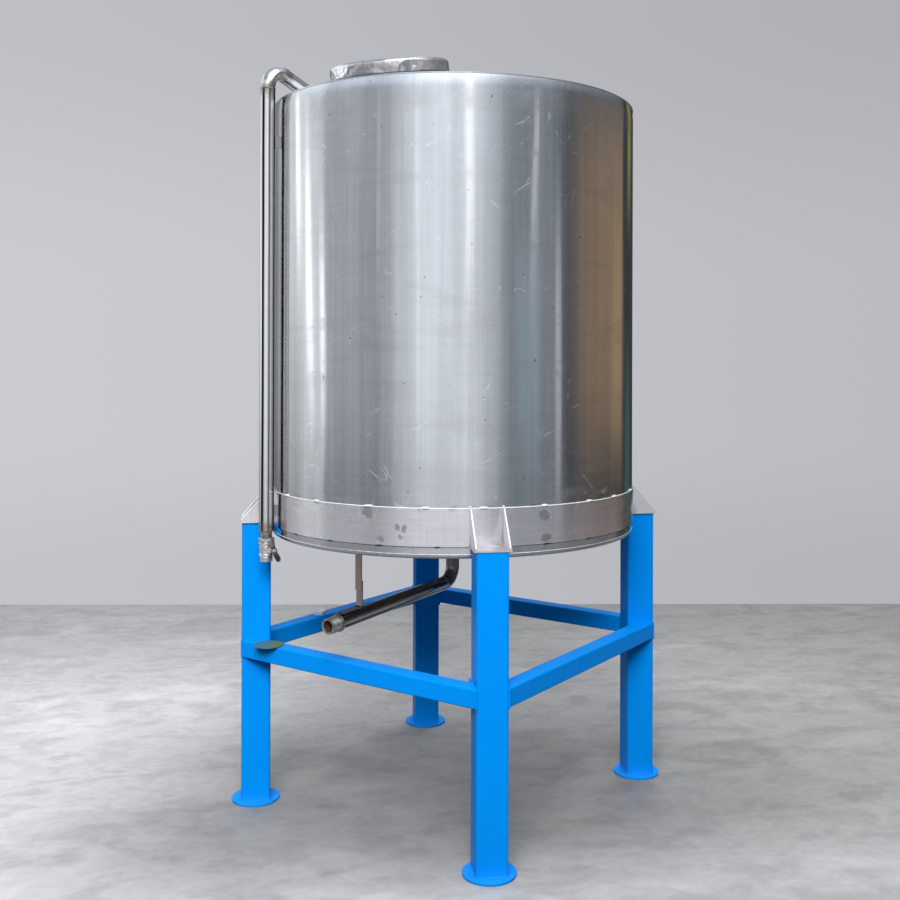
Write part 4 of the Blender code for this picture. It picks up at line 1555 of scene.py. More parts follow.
@dataclass
class Manhole(SubAssembly):
    """Neck through the roof and the loose lid on it."""

    x: float = -0.270
    y: float = -0.340
    neck_radius: float = 0.182
    neck_below: float = 0.025
    neck_above: float = 0.046
    lid_radius: float = 0.198
    lid_sheet: float = 0.0025
    lid_corner: float = 0.015
    lid_clearance: float = 0.005
    dents: tuple[tuple[float, float], ...] = ((1.0, 0.0022), (2.6, 0.0018), (6.0, 0.0005))
    press_angle: float = 13.5
    press_width: float = 9.0
    press_depth: float = 0.0022
    crease_angles: tuple[float, ...] = (-19.5, 52.5)
    crease_width: float = 0.9
    crease_depth: float = 0.0007
    lap_start: float = 27.2
    lap_end: float = 29.8
    lap_height: float = 0.0009
    skirt_inset: float = 0.0014
    # Painted shade: a dark grey, less metallic patch over the lid's right end.
    painted_shade_end: HeatTintAndPaintedShade = HeatTintAndPaintedShade((-0.110, -0.450, 2.500), 0.150, 0.95, (0.195, 0.195, 0.205), 0.80)

    @classmethod
    def frame(cls) -> tuple[Matrix, Vector]:
        """Place of the manhole on the roof.

        Returns:
            The matrix of its local axes, and the direction of its axis.
        """
        shell = TankShell()
        radius = math.hypot(cls.x, cls.y)
        outward = Vector((cls.x, cls.y, 0.0)) / radius
        normal = outward * math.sin(shell.roof_slope) + UP * math.cos(shell.roof_slope)
        side = Vector((-outward.y, outward.x, 0.0))
        matrix = Matrix((side.cross(normal), side, normal)).transposed().to_4x4()
        matrix.translation = Vector((cls.x, cls.y, shell.roof_height(radius)))
        return matrix, normal

    def dress(self) -> None:
        """Build the neck, the dented lid and the weld between neck and roof."""
        place, normal = self.frame()
        self.build_neck(place)
        self.build_lid(place)
        shell = TankShell()
        rim = circle(Vector((0, 0, 0)), UP, self.neck_radius + 0.001)
        path = [meet_roof(shell, place @ (point - UP * 0.05), normal) for point in rim]
        self.weld("neck_weld", WELD, Slot.SHEET, (path, Bead(0.0032, 0.006)))

    def build_neck(self, place: Matrix) -> None:
        """Rolled neck with a rounded rim.

        Args:
            place: the matrix of the manhole's axes.
        """
        inner = self.neck_radius - 0.003
        rim = arc((self.neck_radius - 0.0015, self.neck_above - 0.0015), 0.0015, math.pi, 0.0, 6)
        foot = [(self.neck_radius, -self.neck_below), (inner, -self.neck_below)]
        neck = Draft().turn(rim + foot, place, 160, ring=True)
        finish = RolledSheet("neck_sheet", roughness=0.3)
        self.mount(neck, "rolled_neck", finish, Slot.SHEET, ["manhole_neck"])

    def build_lid(self, place: Matrix) -> None:
        """Lid of thin sheet with a rounded corner, a hand-formed skirt and a hem.

        Args:
            place: the matrix of the manhole's axes.
        """
        sheet = self.lid_sheet
        top = self.neck_above + 0.0003 + sheet
        centre = (self.lid_radius - self.lid_corner, top - self.lid_corner)
        outer = arc(centre, self.lid_corner, math.pi / 2, 0.0, 10)
        within = arc(centre, self.lid_corner - sheet, 0.0, math.pi / 2, 10)
        hem = self.lid_clearance
        lip = [(self.lid_radius, hem + 0.0008), (self.lid_radius - 0.0008, hem)]
        lip += [(self.lid_radius - sheet + 0.0008, hem), (self.lid_radius - sheet, hem + 0.0008)]
        cover = filled([(0.0, top), outer[0]], 0.012)[:-1] + outer
        skirt = filled([outer[-1], lip[0]], 0.003)[1:]
        inside = filled([lip[-1], within[0]], 0.006)[:-1] + within + [(0.0, top - sheet)]
        lid = Draft().turn(cover + skirt + lip[1:] + inside[1:], place, 288, ripple=self.dent)
        finish = RolledSheet(
            "lid_sheet",
            (0.83, 0.825, 0.835),
            roughness=0.12,
            grain=(110.0, 110.0, 10.0),
            grain_depth=0.00030,
            wave=0.0034,
            hammer=0.0020,
            mottle=3.5,
            smudge=0.85,
            scratches=0.8,
            tints=(self.painted_shade_end,),
        )
        self.mount(lid, "dented_lid", finish, Slot.SHEET, ["manhole_lid"], Body.LID)

    def dent(self, turn: float, height: float) -> float:
        """Hand-formed skirt: shallow dents, two creases and a lapped joint.

        Args:
            turn: the angle round the lid's axis.
            height: the height over the roof along that axis.

        Returns:
            The change of the radius.
        """
        skirt_top = self.neck_above + 0.0018
        if height > skirt_top:
            return 0.0
        angle = math.degrees(turn)
        angle = angle - 360 if angle > 180 else angle
        place = Vector((math.cos(turn) * 5.5, math.sin(turn) * 5.5, height * 26.0))
        dents = sum(noise.noise(place * scale) * depth for scale, depth in self.dents)
        low = min(1.0, (skirt_top - height) / 0.014)
        press = self.press_depth * math.exp(-(((angle - self.press_angle) / self.press_width) ** 2))
        press *= math.sin(low * math.pi) ** 2
        crease = 0.0
        for middle in self.crease_angles:
            crease += self.crease_depth * math.exp(-(((angle - middle) / self.crease_width) ** 2))
        lap = self.lap_height if self.lap_start < angle < self.lap_end else 0.0
        return -low * (self.skirt_inset + dents + press + crease) + low * lap


def meet_roof(shell: TankShell, start: Vector, direction: Vector) -> Vector:
    """Point where a line meets the roof's outer face.

    Args:
        shell: the tank's shell.
        start: a point of the line on one side of the roof.
        direction: the line's direction, towards the other side.

    Returns:
        The point.
    """

    def above(reach: float) -> float:
        """Signed height of the line over the roof, at a distance from its start."""
        point = start + direction * reach
        return point.z - shell.roof_height(math.hypot(point.x, point.y))

    low, high = 0.0, 0.4
    rising = above(low) < 0
    for _ in range(40):
        middle = (low + high) / 2
        if (above(middle) < 0) == rising:
            low = middle
        else:
            high = middle
    return start + direction * low


@dataclass
class FillingPipe(SubAssembly):
    """Pipe up the tank's side, its bend, clips and nipple."""

    x: float = -0.670
    y: float = -0.150
    radius: float = 0.0255
    nipple_radius: float = 0.0195
    low: float = 0.969
    high: float = 2.479
    valve_top: float = 0.946
    gap: float = 0.0003
    lead: float = 0.004
    bend_radius: float = 0.060
    bend_spacing: float = 0.012
    bend_angle: float = math.radians(107)
    run_azimuth: float = math.radians(45)
    run_length: float = 0.285
    # Dark stripes painted on the riser as reflections, by angle round it.
    riser_painted_reflections: tuple[PaintedReflectionStripe, ...] = (
        PaintedReflectionStripe(-124.0, 6.0, 1.0),
        PaintedReflectionStripe(-73.0, 3.0, 0.6),
        PaintedReflectionStripe(-21.0, 12.0, 0.95),
        PaintedReflectionStripe(60.0, 12.0, 0.6),
        PaintedReflectionStripe(150.0, 14.0, 0.6),
    )
    # Dark stripes painted on the run into the roof as reflections.
    run_painted_reflections: tuple[PaintedReflectionStripe, ...] = (
        PaintedReflectionStripe(48.0, 9.0, 0.95),
        PaintedReflectionStripe(-62.0, 3.0, 0.8),
        PaintedReflectionStripe(-108.0, 12.0, 0.8),
        PaintedReflectionStripe(150.0, 20.0, 0.6),
    )

    @classmethod
    def route(cls) -> tuple[list[Vector], Vector]:
        """Way of the pipe from the top of its riser.

        Returns:
            The points of the bend and the end of the run into the roof, and the direction of the run.
        """
        start = Vector((cls.x, cls.y, cls.high + cls.gap))
        inward = heading(cls.run_azimuth)
        points = [start] + elbow(start + UP * cls.lead, UP, inward, cls.bend_radius, cls.bend_angle)
        run = UP * math.cos(cls.bend_angle) + inward * math.sin(cls.bend_angle)
        points.append(points[-1] + run * cls.run_length)
        return points, run

    def dress(self) -> None:
        """Build the pipe with its weld rings and threaded nipple."""
        axis = Vector((self.x, self.y, 0.0))
        foot, joint = axis + UP * self.low, axis + UP * self.high
        points, run = self.route()
        self.build_riser(foot, joint)
        self.build_bend_and_run(joint, points, run)
        clips = RolledSheet("clip_sheet", (0.36, 0.36, 0.37), 0.3, wave=0.0002)
        self.coat(clips, "inlet_clip_lower", "inlet_clip_upper")
        ring = self.radius - 0.0004
        self.weld(
            "filling_pipe_welds",
            DARK_WELD,
            Slot.TUBE,
            (circle(joint, UP, ring), Bead(0.0017, 0.004)),
            (circle(points[-2], run, ring), Bead(0.0016, 0.004)),
            (circle(foot + UP * 0.0006, UP, self.radius - 0.0022), Bead(0.0022, 0.004)),
        )
        self.add_roof_weld(points[-2], run)
        self.build_nipple(axis)

    def build_riser(self, foot: Vector, joint: Vector) -> None:
        """Upright pipe.

        Args:
            foot: its lower end.
            joint: its upper end.
        """
        tints = (HeatTintAndPaintedShade(tuple(joint), 0.050, 0.9), HeatTintAndPaintedShade(tuple(foot), 0.055, 0.9))
        finish = PolishedTube(
            "riser_tube",
            origin=(self.x, self.y, 0.0),
            painted_reflections=self.riser_painted_reflections,
            dark=(0.02, 0.018, 0.018),
            tints=tints,
        )
        pipe = Draft().sweep([foot, joint], tube(self.radius))
        self.mount(pipe, "riser_pipe", finish, Slot.TUBE, ["inlet_riser"])

    def build_bend_and_run(self, joint: Vector, points: Sequence[Vector], run: Vector) -> None:
        """Bend over the rim and the run into the roof.

        Args:
            joint: the upper end of the riser.
            points: the route of the pipe.
            run: the direction of its last length.
        """
        weld_place = points[-2]
        axes = tube_axes(weld_place, run)
        tints = (HeatTintAndPaintedShade(tuple(joint), 0.050, 0.9), HeatTintAndPaintedShade(tuple(weld_place), 0.045, 0.9))
        curve = Draft().sweep(points[:-1], tube(self.radius, self.bend_spacing))
        finish = PolishedTube("bend_tube", (0.93, 0.92, 0.91), 0.10, 1.6, tints=tints, **axes)
        self.mount(curve, "pipe_bend", finish, Slot.TUBE, ["inlet_bend"])
        straight = Draft().sweep(points[-2:], tube(self.radius - 0.0001))
        finish = PolishedTube(
            "inlet_run_tube",
            (0.95, 0.935, 0.93),
            painted_reflections=self.run_painted_reflections,
            dark=(0.05, 0.042, 0.04),
            tints=tints,
            **axes,
        )
        self.mount(straight, "pipe_run", finish, Slot.TUBE)

    def add_roof_weld(self, start: Vector, run: Vector) -> None:
        """Weld round the pipe where it goes through the roof.

        Args:
            start: the start of the pipe's last length.
            run: the direction of that length.
        """
        shell = TankShell()
        ring = circle(start + run * 0.01, run, self.radius + 0.0005)
        path = [meet_roof(shell, point, run) for point in ring]
        self.weld("pipe_roof_weld", WELD, Slot.TUBE, (path, Bead(0.0026, 0.006)))

    def build_nipple(self, axis: Vector) -> None:
        """Threaded nipple between the pipe and the valve.

        Args:
            axis: the foot of the pipe's axis.
        """
        low, high = self.valve_top + self.gap, self.low - self.gap
        thread = threaded(0.0011, 0.0023, low, low + 0.013)
        outline = filled([(self.nipple_radius, high), (self.nipple_radius, low)], 0.0004)
        nipple = Draft()
        nipple.turn([(0.0, high)] + outline + [(0.0, low)], Matrix.Translation(axis), 48, ripple=thread)
        finish = CastSteel("burnt_nipple", (0.36, 0.30, 0.25), 0.34)
        self.mount(nipple, "threaded_inlet_nipple", finish, Slot.CAST, ["inlet_nipple"])


@dataclass
class BallValve(SubAssembly):
    """Two-piece ball valve with a butterfly handle."""

    x: float = -0.670
    y: float = -0.150
    top: float = 0.946
    hex_low: float = 0.936
    hex_reach: float = 0.024
    split: float = 0.9235
    bottom: float = 0.866
    stem_level: float = 0.905
    stem_angle: float = math.radians(-45)

    def dress(self) -> None:
        """Build the valve's parts with eased edges."""
        place = Matrix.Translation((self.x, self.y, 0.0))
        casting = CastSteel("valve_casting", (0.70, 0.68, 0.655), 0.17)
        self.mount(self.end_piece(place), "valve_end", casting, Slot.CAST, ["valve_end_piece"])
        self.mount(self.housing(place), "valve_housing", casting, Slot.CAST, ["valve_body"])
        steel = CastSteel("stem_steel", (0.66, 0.65, 0.64), 0.22, dirt_share=0.2)
        stem = along(Vector((self.x, self.y, self.stem_level)), heading(self.stem_angle))
        rod = [(0.0, 0.048), (0.0042, 0.048), (0.005, 0.0472), (0.005, 0.0323), (0.0, 0.0323)]
        hexagon = [(0.0, 0.0435), (0.0085, 0.0435), (0.0095, 0.0425), (0.0095, 0.0378), (0.0, 0.0378)]
        nut = Draft().turn(rod, stem, 32)
        nut.turn(hexagon, stem, 6)
        self.mount(nut, "stem_and_nut", steel, Slot.CAST, ["valve_stem"], Body.HANDLE)
        handle = CastSteel("handle_steel", (0.40, 0.40, 0.40), 0.26, dirt_share=0.5)
        self.coat(handle, "valve_handle")

    def end_piece(self, place: Matrix) -> Draft:
        """Hexagon and ring of the valve's upper half.

        Args:
            place: the matrix of the valve's axis.

        Returns:
            The points and faces.
        """
        draft = Draft()
        across = self.hex_reach / math.cos(math.pi / 6)
        hexagon = [(0.0, self.top), (across - 0.0018, self.top), (across, self.top - 0.0012)]
        hexagon += [(across, self.hex_low + 0.0010), (across - 0.0015, self.hex_low), (0.0, self.hex_low)]
        draft.turn(hexagon, place, 6)
        ring_high, ring_low = self.split + 0.0083, self.split + 0.0003
        neck = [(0.0, self.hex_low + 0.001), (0.0225, self.hex_low + 0.001), (0.0225, ring_high + 0.0016)]
        ring = arc((0.0260, ring_high - 0.0015), 0.0015, math.pi / 2, 0.0, 5)
        ring += arc((0.0260, ring_low + 0.0015), 0.0015, 0.0, -math.pi / 2, 5)
        draft.turn(neck + ring + [(0.0, ring_low)], place, 64)
        return draft

    def housing(self, place: Matrix) -> Draft:
        """Body of the valve with its flare, collar, bore and stem boss.

        Args:
            place: the matrix of the valve's axis.

        Returns:
            The points and faces.
        """
        profile = [(0.0, self.split), (0.0220, self.split), (0.0220, self.split - 0.0025)]
        profile += arc((0.0215, self.split - 0.0060), 0.0025, math.pi / 2, 0.0, 5)
        profile += [(0.0240, 0.8935), (0.0246, 0.8905)]
        profile += arc((0.0248, 0.8885), 0.0012, math.pi / 3, -math.pi / 3, 5)
        profile += [(0.0212, 0.8850), (0.0205, 0.8835), (0.0214, 0.8822)]
        profile += arc((0.0205, self.bottom + 0.0010), 0.0010, 0.0, -math.pi / 2, 4)
        profile += [(0.0172, self.bottom), (0.0160, self.bottom + 0.0012)]
        profile += [(0.0160, self.bottom + 0.022), (0.0, self.bottom + 0.022)]
        draft = Draft().turn(filled(profile, 0.004), place, 64)
        boss = [(0.0, 0.032), (0.0112, 0.032)] + arc((0.0113, 0.0308), 0.0012, math.pi / 2, 0.0, 4)
        boss += [(0.0125, 0.0245), (0.0140, 0.0215), (0.0150, 0.0120), (0.0, 0.0120)]
        stem = along(Vector((self.x, self.y, self.stem_level)), heading(self.stem_angle))
        draft.turn(boss, stem, 48)
        return draft


@dataclass
class OutletPipe(SubAssembly):
    """Outlet bend, run, threaded nipple and strap hanger."""

    fall: float = math.radians(3)
    direction: float = math.radians(-135)
    start: float = 0.8475
    bend_top: float = 0.802
    bend_radius: float = 0.057
    bend_spacing: float = 0.012
    lead: float = 0.004
    radius: float = 0.024
    run_length: float = 0.565
    nipple_length: float = 0.052
    nipple_radius: float = 0.026
    rim_radius: float = 0.0285
    bore_radius: float = 0.019
    gap: float = 0.0003
    # Dark stripes painted on the outlet run as reflections, by angle round it.
    painted_reflections: tuple[PaintedReflectionStripe, ...] = (
        PaintedReflectionStripe(150.0, 16.0, 0.75),
        PaintedReflectionStripe(120.0, 5.0, 0.6),
        PaintedReflectionStripe(95.0, 10.0, 0.85),
        PaintedReflectionStripe(62.0, 9.0, 0.8),
        PaintedReflectionStripe(32.0, 5.0, 0.55),
        PaintedReflectionStripe(5.0, 16.0, 0.8),
        PaintedReflectionStripe(-60.0, 20.0, 0.6),
        PaintedReflectionStripe(-150.0, 14.0, 0.7),
    )

    def dress(self) -> None:
        """Build the outlet with its welds and threaded nipple."""
        away = heading(self.direction)
        angle = math.pi / 2 - self.fall
        run = UP * -math.cos(angle) + away * math.sin(angle)
        curve = [UP * self.start] + elbow(UP * self.bend_top, -UP, away, self.bend_radius, angle)
        curve.append(curve[-1] + run * self.lead)
        joint = curve[-1] + run * self.gap
        end = joint + run * self.run_length
        nipple = end + run * self.gap
        axes = tube_axes(joint, run)
        pipe = Draft().sweep([joint, end], tube(self.radius))
        # The run and the elbow under the tank get dark base colours: painted shade.
        colour, black = (0.44, 0.43, 0.42), (0.018, 0.016, 0.016)
        finish = PolishedTube("outlet_tube_painted_shade", colour, 0.07, painted_reflections=self.painted_reflections, dark=black, **axes)
        self.mount(pipe, "outlet_pipe", finish, Slot.TUBE, ["outlet_run"])
        bend = Draft().sweep(curve, tube(self.radius, self.bend_spacing))
        finish = PolishedTube("outlet_bend_painted_shade", (0.13, 0.125, 0.12), 0.10, 0.8, **axes)
        self.mount(bend, "outlet_elbow", finish, Slot.TUBE, ["outlet_bend"])
        plain = {"wave": 0.0003, "smudge": 0.0, "scratches": 0.06}
        strap = RolledSheet("strap_sheet", (0.31, 0.24, 0.225), 0.20, **plain)
        self.coat(strap, "outlet_hanger_upper")
        foot = RolledSheet("strap_foot_sheet", (0.26, 0.21, 0.195), 0.16, **plain)
        self.coat(foot, "outlet_hanger_lower")
        self.build_nipple(along(nipple, run))
        self.weld(
            "outlet_welds",
            DARK_WELD,
            Slot.TUBE,
            (circle(joint, run, self.radius - 0.0004), Bead(0.0014, 0.004)),
            (circle(nipple, run, self.radius + 0.0008), Bead(0.0020, 0.004)),
        )

    def build_nipple(self, place: Matrix) -> None:
        """Threaded nipple with a back rim, an eased mouth and a dark rusty lining in its bore, which is also
        painted shade for the bore's depth.

        Args:
            place: the matrix of the nipple's axis, whose Z runs outwards.
        """
        length, radius, rim, bore = self.nipple_length, self.nipple_radius, self.rim_radius, self.bore_radius
        mouth = arc((radius - 0.0010, length - 0.0010), 0.0010, math.pi / 2, 0.0, 3)
        barrel = filled([(radius, length - 0.0012), (radius, 0.0085)], 0.0003)
        collar = [(radius, 0.0078)] + arc((rim - 0.0012, 0.0042), 0.0012, math.pi / 2, 0.0, 4)
        profile = [(bore + 0.0012, length)] + mouth + barrel + collar
        profile += [(rim, 0.0010), (rim - 0.0010, 0.0), (bore, 0.0), (bore, length - 0.0012)]
        thread = threaded(0.0015, 0.0031, 0.0095, length - 0.0015)
        outer = Draft().turn(profile[:-2], place, 64, ripple=thread)
        outer.turn(profile[-2:] + profile[:1], place, 64)
        grime = (0.06, 0.048, 0.038)
        steel = CastSteel("nipple_steel", (0.27, 0.25, 0.23), 0.30, dirt=grime, dirt_share=0.75)
        self.mount(outer, "threaded_outlet_nipple", steel, Slot.CAST, ["outlet_nipple"])
        # A dark rusty lining closed by a disc: rust, and painted shade for the depth of the bore.
        wide, narrow = bore - 0.0003, bore - 0.0009
        sleeve = [(wide, length - 0.0030), (narrow, length - 0.0050), (narrow, 0.0008), (0.0, 0.0008)]
        lining = Draft().turn(sleeve, place, 64)
        rust_and_shade = CastSteel("rusty_bore_painted_shade", (0.075, 0.045, 0.032), 0.7, 0.2, (0.02, 0.014, 0.01), 0.8)
        self.mount(lining, "outlet_bore_shade_lining", rust_and_shade, Slot.CAST)


@dataclass
class LoosePieces(SubAssembly):
    """Round plate and plastic plug that lie on the cross-beams."""

    plate: Triple = (-0.661, -0.135, 0.5733)
    plate_radius: float = 0.050
    plate_thickness: float = 0.004
    plug: Triple = (-0.471, 0.289, 0.5733)
    plug_radius: float = 0.025
    plug_foot: float = 0.021
    plug_height: float = 0.016

    def dress(self) -> None:
        """Build the two loose pieces."""
        disc = Draft()
        plate = eased_plate(self.plate_radius, self.plate_thickness)
        disc.turn(plate, Matrix.Translation(self.plate), 96)
        self.mount(disc, "olive_disc", OlivePaint("plate_coat"), Slot.OLIVE, ["round_plate"])
        high, wide, foot = self.plug_height, self.plug_radius, self.plug_foot
        rim = arc((wide - 0.0020, high - 0.0020), 0.0020, math.pi * 0.9, 0.0, 8)
        hollow = [(0.0, 0.006), (wide - 0.0075, 0.006), (wide - 0.0055, 0.0075)]
        side = [(wide - 0.0012, high - 0.0045), (foot + 0.0006, 0.0015), (foot - 0.001, 0.0), (0.0, 0.0)]
        plug = Draft().turn(hollow + rim + side, Matrix.Translation(self.plug), 64)
        self.mount(plug, "milky_plug", MilkyPlastic("milky_plastic"), Slot.PLASTIC, ["plastic_plug"])


@dataclass(frozen=True)
class Card:
    """Upright light card of the studio, as the tank's side mirrors it.

    Its angles are in degrees. The azimuth counts from the direction of the camera, to the camera's right, and
    low and high are elevations. Its edges fade over the soft widths.
    """

    name: str
    azimuth: float
    half_width: float
    soft_left: float
    soft_right: float
    colour: Colour
    strength: float
    lean: float = 0.0
    low: float = -40.0
    high: float = 40.0
    soft_low: float = 6.0
    soft_high: float = 6.0


@dataclass(frozen=True)
class SoftLight:
    """Large soft light that lights matt surfaces and isn't mirrored, with its beam's spread in degrees.

    The azimuth, from +X, and the elevation say where it hangs as seen from its target, in degrees.
    """

    name: str
    azimuth: float
    elevation: float
    distance: float
    size: tuple[float, float]
    power: float
    target: Triple
    spread: float


@dataclass(frozen=True)
class Viewpoint:
    """Camera of the photograph, with its turns in radians and its lens in millimetres."""

    place: Triple = (-0.6554, -3.9911, 1.5777)
    yaw: float = 0.1819
    pitch: float = 0.0021
    roll: float = 0.0031
    lens: float = 44.165
    sensor: float = 36.0
    shift: tuple[float, float] = (-0.0271, -0.1101)


@dataclass
class Studio:
    """Floor, backdrop, light and camera."""

    cards: tuple[Card, ...] = (
        Card("front card", -2.0, 10.0, 42.0, 30.0, (0.95, 0.98, 1.03), 0.80),
        Card("left card", -82.0, 19.0, 16.0, 28.0, (0.94, 0.99, 1.03), 0.20),
        Card("left strip", -47.0, 0.5, 1.2, 1.2, (1.0, 1.0, 1.0), 0.22, 0.1, 7.0, 14.0),
        Card("middle strip", -35.0, 0.5, 1.5, 1.5, (1.0, 0.98, 0.97), 0.14, 0.1, -8.0, 6.0),
        Card("right strip", -21.0, 0.5, 1.5, 1.5, (1.0, 1.0, 1.0), 0.18, -0.1, 0.0, 14.0),
        Card("right card", 44.0, 16.0, 14.0, 16.0, (0.88, 0.99, 1.08), 0.16),
        Card("rear left card", -112.0, 23.0, 6.0, 5.0, (0.98, 1.0, 1.0), 0.36),
        Card("upper rear left card", -115.0, 18.0, 6.0, 5.0, (0.98, 1.0, 1.0), 0.20, -0.5, 4.0, 16.0),
        Card("rear left bar", -109.0, 1.6, 1.5, 2.0, (1.0, 1.0, 1.0), 1.0, -0.4, 9.0, 14.0),
        Card("outer left bar", -130.0, 1.4, 1.5, 2.0, (1.0, 1.0, 1.0), 0.7, 0.0, 7.0, 12.0),
        Card("left bar", -97.5, 1.6, 2.5, 1.5, (1.0, 1.0, 1.0), 1.0, -0.5, 1.0, 5.5),
        Card("lower left strip", -86.5, 1.1, 1.5, 1.5, (1.0, 1.0, 1.0), 1.2, -0.3, 0.5, 2.5),
        Card("far left card", -149.0, 9.0, 8.0, 8.0, (0.96, 1.0, 1.0), 0.10),
        Card("front bar", 9.0, 1.1, 1.5, 2.0, (1.0, 0.99, 1.0), 0.75, 0.0, 8.5),
        Card("pink strip", 46.0, 0.8, 1.5, 1.5, (1.0, 0.92, 0.94), 0.55, 0.5, 8.0, 10.0),
        Card("blue card", 47.0, 5.0, 5.0, 5.0, (0.40, 0.80, 1.0), 0.13, 0.0, -3.0, 2.0),
        Card("brown card", 112.0, 18.0, 23.0, 6.0, (1.0, 0.61, 0.29), 0.235, 0.0, -2.0, 11.0, soft_high=1.5),
        Card("outer brown card", 127.0, 6.0, 10.0, 4.0, (1.0, 0.62, 0.20), 0.09, 0.0, -1.0, 3.5),
        Card("grey bar", 67.0, 1.0, 1.6, 1.6, (1.0, 0.96, 0.94), 0.42, 0.0, -4.0, 3.0),
        Card("green patch", 145.0, 4.0, 3.0, 3.0, (0.20, 1.0, 0.60), 0.07, 0.0, -7.0, -4.0),
        Card("yellow patch", 148.0, 3.0, 3.0, 3.0, (1.0, 0.90, 0.15), 0.22, 0.0, 11.0, 13.0),
    )
    high_lamp: Card = Card("high card", 40.0, 45.0, 22.0, 22.0, (1.0, 1.0, 1.02), 1.1, 0.0, 30.0, 74.0)
    gloom: Colour = (0.050, 0.054, 0.060)
    haze_left: Colour = (0.30, 0.315, 0.33)
    haze_right: Colour = (0.128, 0.135, 0.146)
    brown_haze: Colour = (0.064, 0.068, 0.073)
    far_right: Colour = (0.045, 0.05, 0.055)
    far_left: Colour = (0.13, 0.135, 0.14)
    ceiling: Colour = (0.42, 0.445, 0.49)
    skylight: Colour = (0.40, 0.47, 0.57)
    floor_glow: Colour = (0.24, 0.24, 0.245)
    ambient: Colour = (0.085, 0.09, 0.10)
    backdrop_left: Colour = (0.545, 0.552, 0.585)
    backdrop_right: Colour = (0.450, 0.456, 0.488)
    back_glow: Colour = (0.46, 0.47, 0.49)
    lamps: tuple[SoftLight, ...] = (
        SoftLight("key_light", -97.0, 38.0, 6.0, (3.2, 2.4), 72.0, (-0.9, 0.0, 0.6), 70.0),
        SoftLight("rear_light", 60.0, 35.0, 6.0, (3.0, 3.0), 60.0, (0.0, 0.0, 0.9), 120.0),
        SoftLight("overhead_light", 0.0, 90.0, 5.2, (7.0, 7.0), 170.0, (0.0, -0.3, 0.0), 150.0),
    )
    viewpoint: Viewpoint = Viewpoint()
    front_azimuth: float = math.radians(-99.33)
    near_edge: float = 5.4
    far_edge: float = 2.90
    half_width: float = 7.0

    def __post_init__(self) -> None:
        """Find the direction from the tank to the camera."""
        self.front = heading(self.front_azimuth)
        self.right = Vector((-self.front.y, self.front.x, 0.0))

    def build(self) -> None:
        """Build the whole studio."""
        self.light_world()
        self.lay_floor()
        for lamp in self.lamps:
            self.hang_light(lamp)
        self.place_camera()
        bpy.context.scene.view_settings.view_transform = "Standard"

    def light_world(self) -> None:
        """World with the light cards, a bright ceiling, a dim ambient light and a plain backdrop."""
        world = bpy.data.worlds.new("studio")
        bpy.context.scene.world = world
        tree = ShaderTree(world)
        ray = Signal(tree, tree.node("ShaderNodeTexCoord").outputs["Generated"])
        x, y, z = tree.parts(ray)
        ahead = x * self.front.x + y * self.front.y
        aside = x * self.right.x + y * self.right.y
        azimuth = tree.math("ARCTAN2", aside, ahead) * DEGREES
        elevation = tree.math("ARCSINE", z) * DEGREES
        # What surrounds the tank between the cards, and the ground in front of the floor.
        haze = tree.mix(azimuth.rise(-30.0, 20.0), self.haze_left, self.haze_right)
        haze = tree.mix(azimuth.rise(60.0, 98.0) * elevation.rise(13.0, 11.0), haze, self.brown_haze)
        haze = tree.mix(azimuth.rise(132.0, 139.0), haze, self.far_right)
        haze = tree.mix(azimuth.rise(-141.0, -149.0), haze, self.far_left)
        light = tree.mix(elevation.rise(-3.0, -10.0), haze, self.gloom)
        behind = abs(azimuth).rise(168.0, 177.0) * elevation.rise(-30.0, -10.0)
        light = tree.mix(behind, light, self.back_glow)
        for card in self.cards:
            light = self.add_card(tree, light, azimuth, elevation, card)
        clutter = tree.noise(tree.vector(azimuth * 0.22, elevation * 0.03, 0.0), 1.0, 4.0)
        light = tree.shaded(light, (0.66 + clutter * 0.68) * (1.0 - elevation.rise(2.0, -10.0) * 0.12))
        # The light from above, and the bright floor below.
        sky = elevation.rise(16.0, 21.0) * (0.30 + azimuth.rise(50.0, 10.0) * 0.70)
        light = tree.glow(sky, light, self.skylight)
        light = tree.mix(elevation.rise(32.0, 46.0), light, self.ceiling)
        light = self.add_card(tree, light, azimuth, elevation, self.high_lamp)
        light = tree.mix(elevation.rise(-14.0, -26.0), light, self.floor_glow)
        # The backdrop that the camera sees, darker towards its top and its foot.
        backdrop = tree.mix(aside.rise(-0.45, 0.5), self.backdrop_left, self.backdrop_right)
        dim = elevation.rise(3.0, 17.5) * 0.145 + elevation.rise(-4.0, -11.0) * 0.09
        backdrop = tree.shaded(backdrop, 1.09 - dim)
        path = tree.node("ShaderNodeLightPath").outputs
        shown = tree.mix(Signal(tree, path["Is Diffuse Ray"]), light, self.ambient)
        shown = tree.mix(Signal(tree, path["Is Camera Ray"]), shown, backdrop)
        background = tree.node("ShaderNodeBackground", None, {"Color": shown, "Strength": 1.0})
        tree.node("ShaderNodeOutputWorld", None, {"Surface": Signal(tree, background.outputs[0])})

    @staticmethod
    def add_card(
        tree: ShaderTree, light: Signal, azimuth: Signal, elevation: Signal, card: Card
    ) -> Signal:
        """Add one card's light.

        Args:
            tree: the world's node tree.
            light: the light so far.
            azimuth: the ray's azimuth in degrees.
            elevation: the ray's elevation in degrees.
            card: the card.

        Returns:
            The light with the card's added.
        """
        across = azimuth - card.azimuth - elevation * card.lean
        cover = across.rise(-card.half_width - card.soft_left, -card.half_width)
        cover = cover * across.rise(card.half_width + card.soft_right, card.half_width)
        cover = cover * elevation.rise(card.low - card.soft_low, card.low)
        cover = cover * elevation.rise(card.high + card.soft_high, card.high)
        LOG.info("light card %s", card.name)
        return tree.glow(cover, light, tuple(channel * card.strength for channel in card.colour))

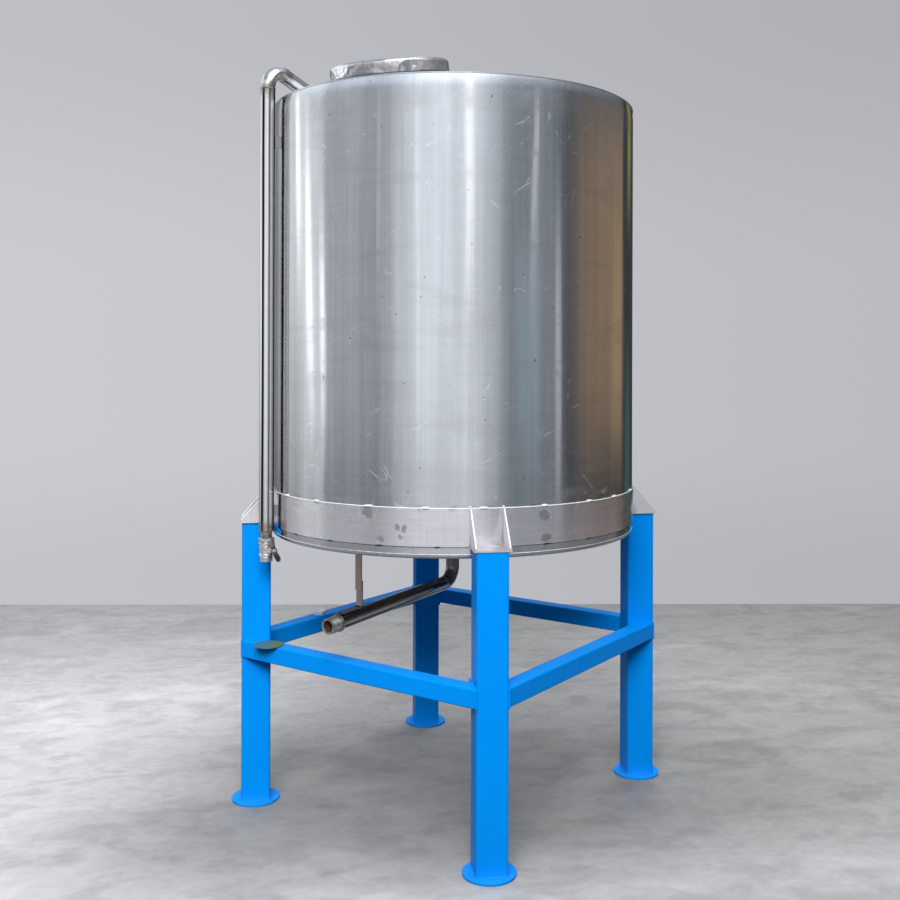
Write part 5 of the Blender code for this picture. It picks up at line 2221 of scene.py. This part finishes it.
    def lay_floor(self) -> None:
        """Plain pale floor that ends at the foot of the backdrop."""
        half = self.half_width
        corners = [
            self.front * self.near_edge - self.right * half,
            self.front * self.near_edge + self.right * half,
            self.front * -self.far_edge + self.right * half,
            self.front * -self.far_edge - self.right * half,
        ]
        draft = Draft()
        numbers = draft.ring(corner + UP * -0.0005 for corner in corners)
        draft.faces.append(tuple(numbers))
        floor = draft.build("studio_floor")
        floor.data.materials.append(Concrete("pale_concrete").material())
        floor.visible_diffuse = False

    @staticmethod
    def hang_light(lamp: SoftLight) -> None:
        """Hang a soft light.

        Args:
            lamp: its size, place and power.
        """
        source = bpy.data.lights.new(lamp.name, "AREA")
        source.shape = "RECTANGLE"
        source.size, source.size_y = lamp.size
        source.energy = lamp.power
        source.spread = math.radians(lamp.spread)
        light = bpy.data.objects.new(lamp.name, source)
        level = math.radians(lamp.elevation)
        towards = heading(math.radians(lamp.azimuth)) * math.cos(level) + UP * math.sin(level)
        light.location = Vector(lamp.target) + towards * lamp.distance
        light.rotation_mode = "QUATERNION"
        light.rotation_quaternion = (-towards).to_track_quat("-Z", "Y")
        light.visible_camera = False
        light.visible_glossy = False
        bpy.context.scene.collection.objects.link(light)

    def place_camera(self) -> None:
        """Camera at the photograph's viewpoint."""
        view = self.viewpoint
        yaw, pitch, roll = view.yaw, view.pitch, view.roll
        ahead = Vector((math.sin(yaw) * math.cos(pitch), math.cos(yaw) * math.cos(pitch), math.sin(pitch)))
        level = Vector((math.cos(yaw), -math.sin(yaw), 0.0))
        top = level.cross(ahead)
        right = level * math.cos(roll) + top * math.sin(roll)
        up = top * math.cos(roll) - level * math.sin(roll)
        camera = bpy.data.cameras.new("camera")
        camera.sensor_width = view.sensor
        camera.lens = view.lens
        camera.shift_x, camera.shift_y = view.shift
        item = bpy.data.objects.new("camera", camera)
        matrix = Matrix((right, up, -ahead)).transposed().to_4x4()
        matrix.translation = Vector(view.place)
        item.matrix_world = matrix
        bpy.context.scene.collection.objects.link(item)
        bpy.context.scene.camera = item


def main() -> None:
    """Load the frame, dress each sub-assembly and set up the studio."""
    logging.basicConfig(level=logging.INFO, format="%(name)s: %(message)s")
    for item in list(bpy.data.objects):
        bpy.data.objects.remove(item, do_unlink=True)
    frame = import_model()
    Studio().build()
    for assembly in (TankShell, Stand, Brackets, Manhole, FillingPipe, BallValve, OutletPipe, LoosePieces):
        LOG.info("sub-assembly %s", assembly.__name__)
        assembly(frame["nodes"]).dress()


if __name__ == "__main__":
    main()
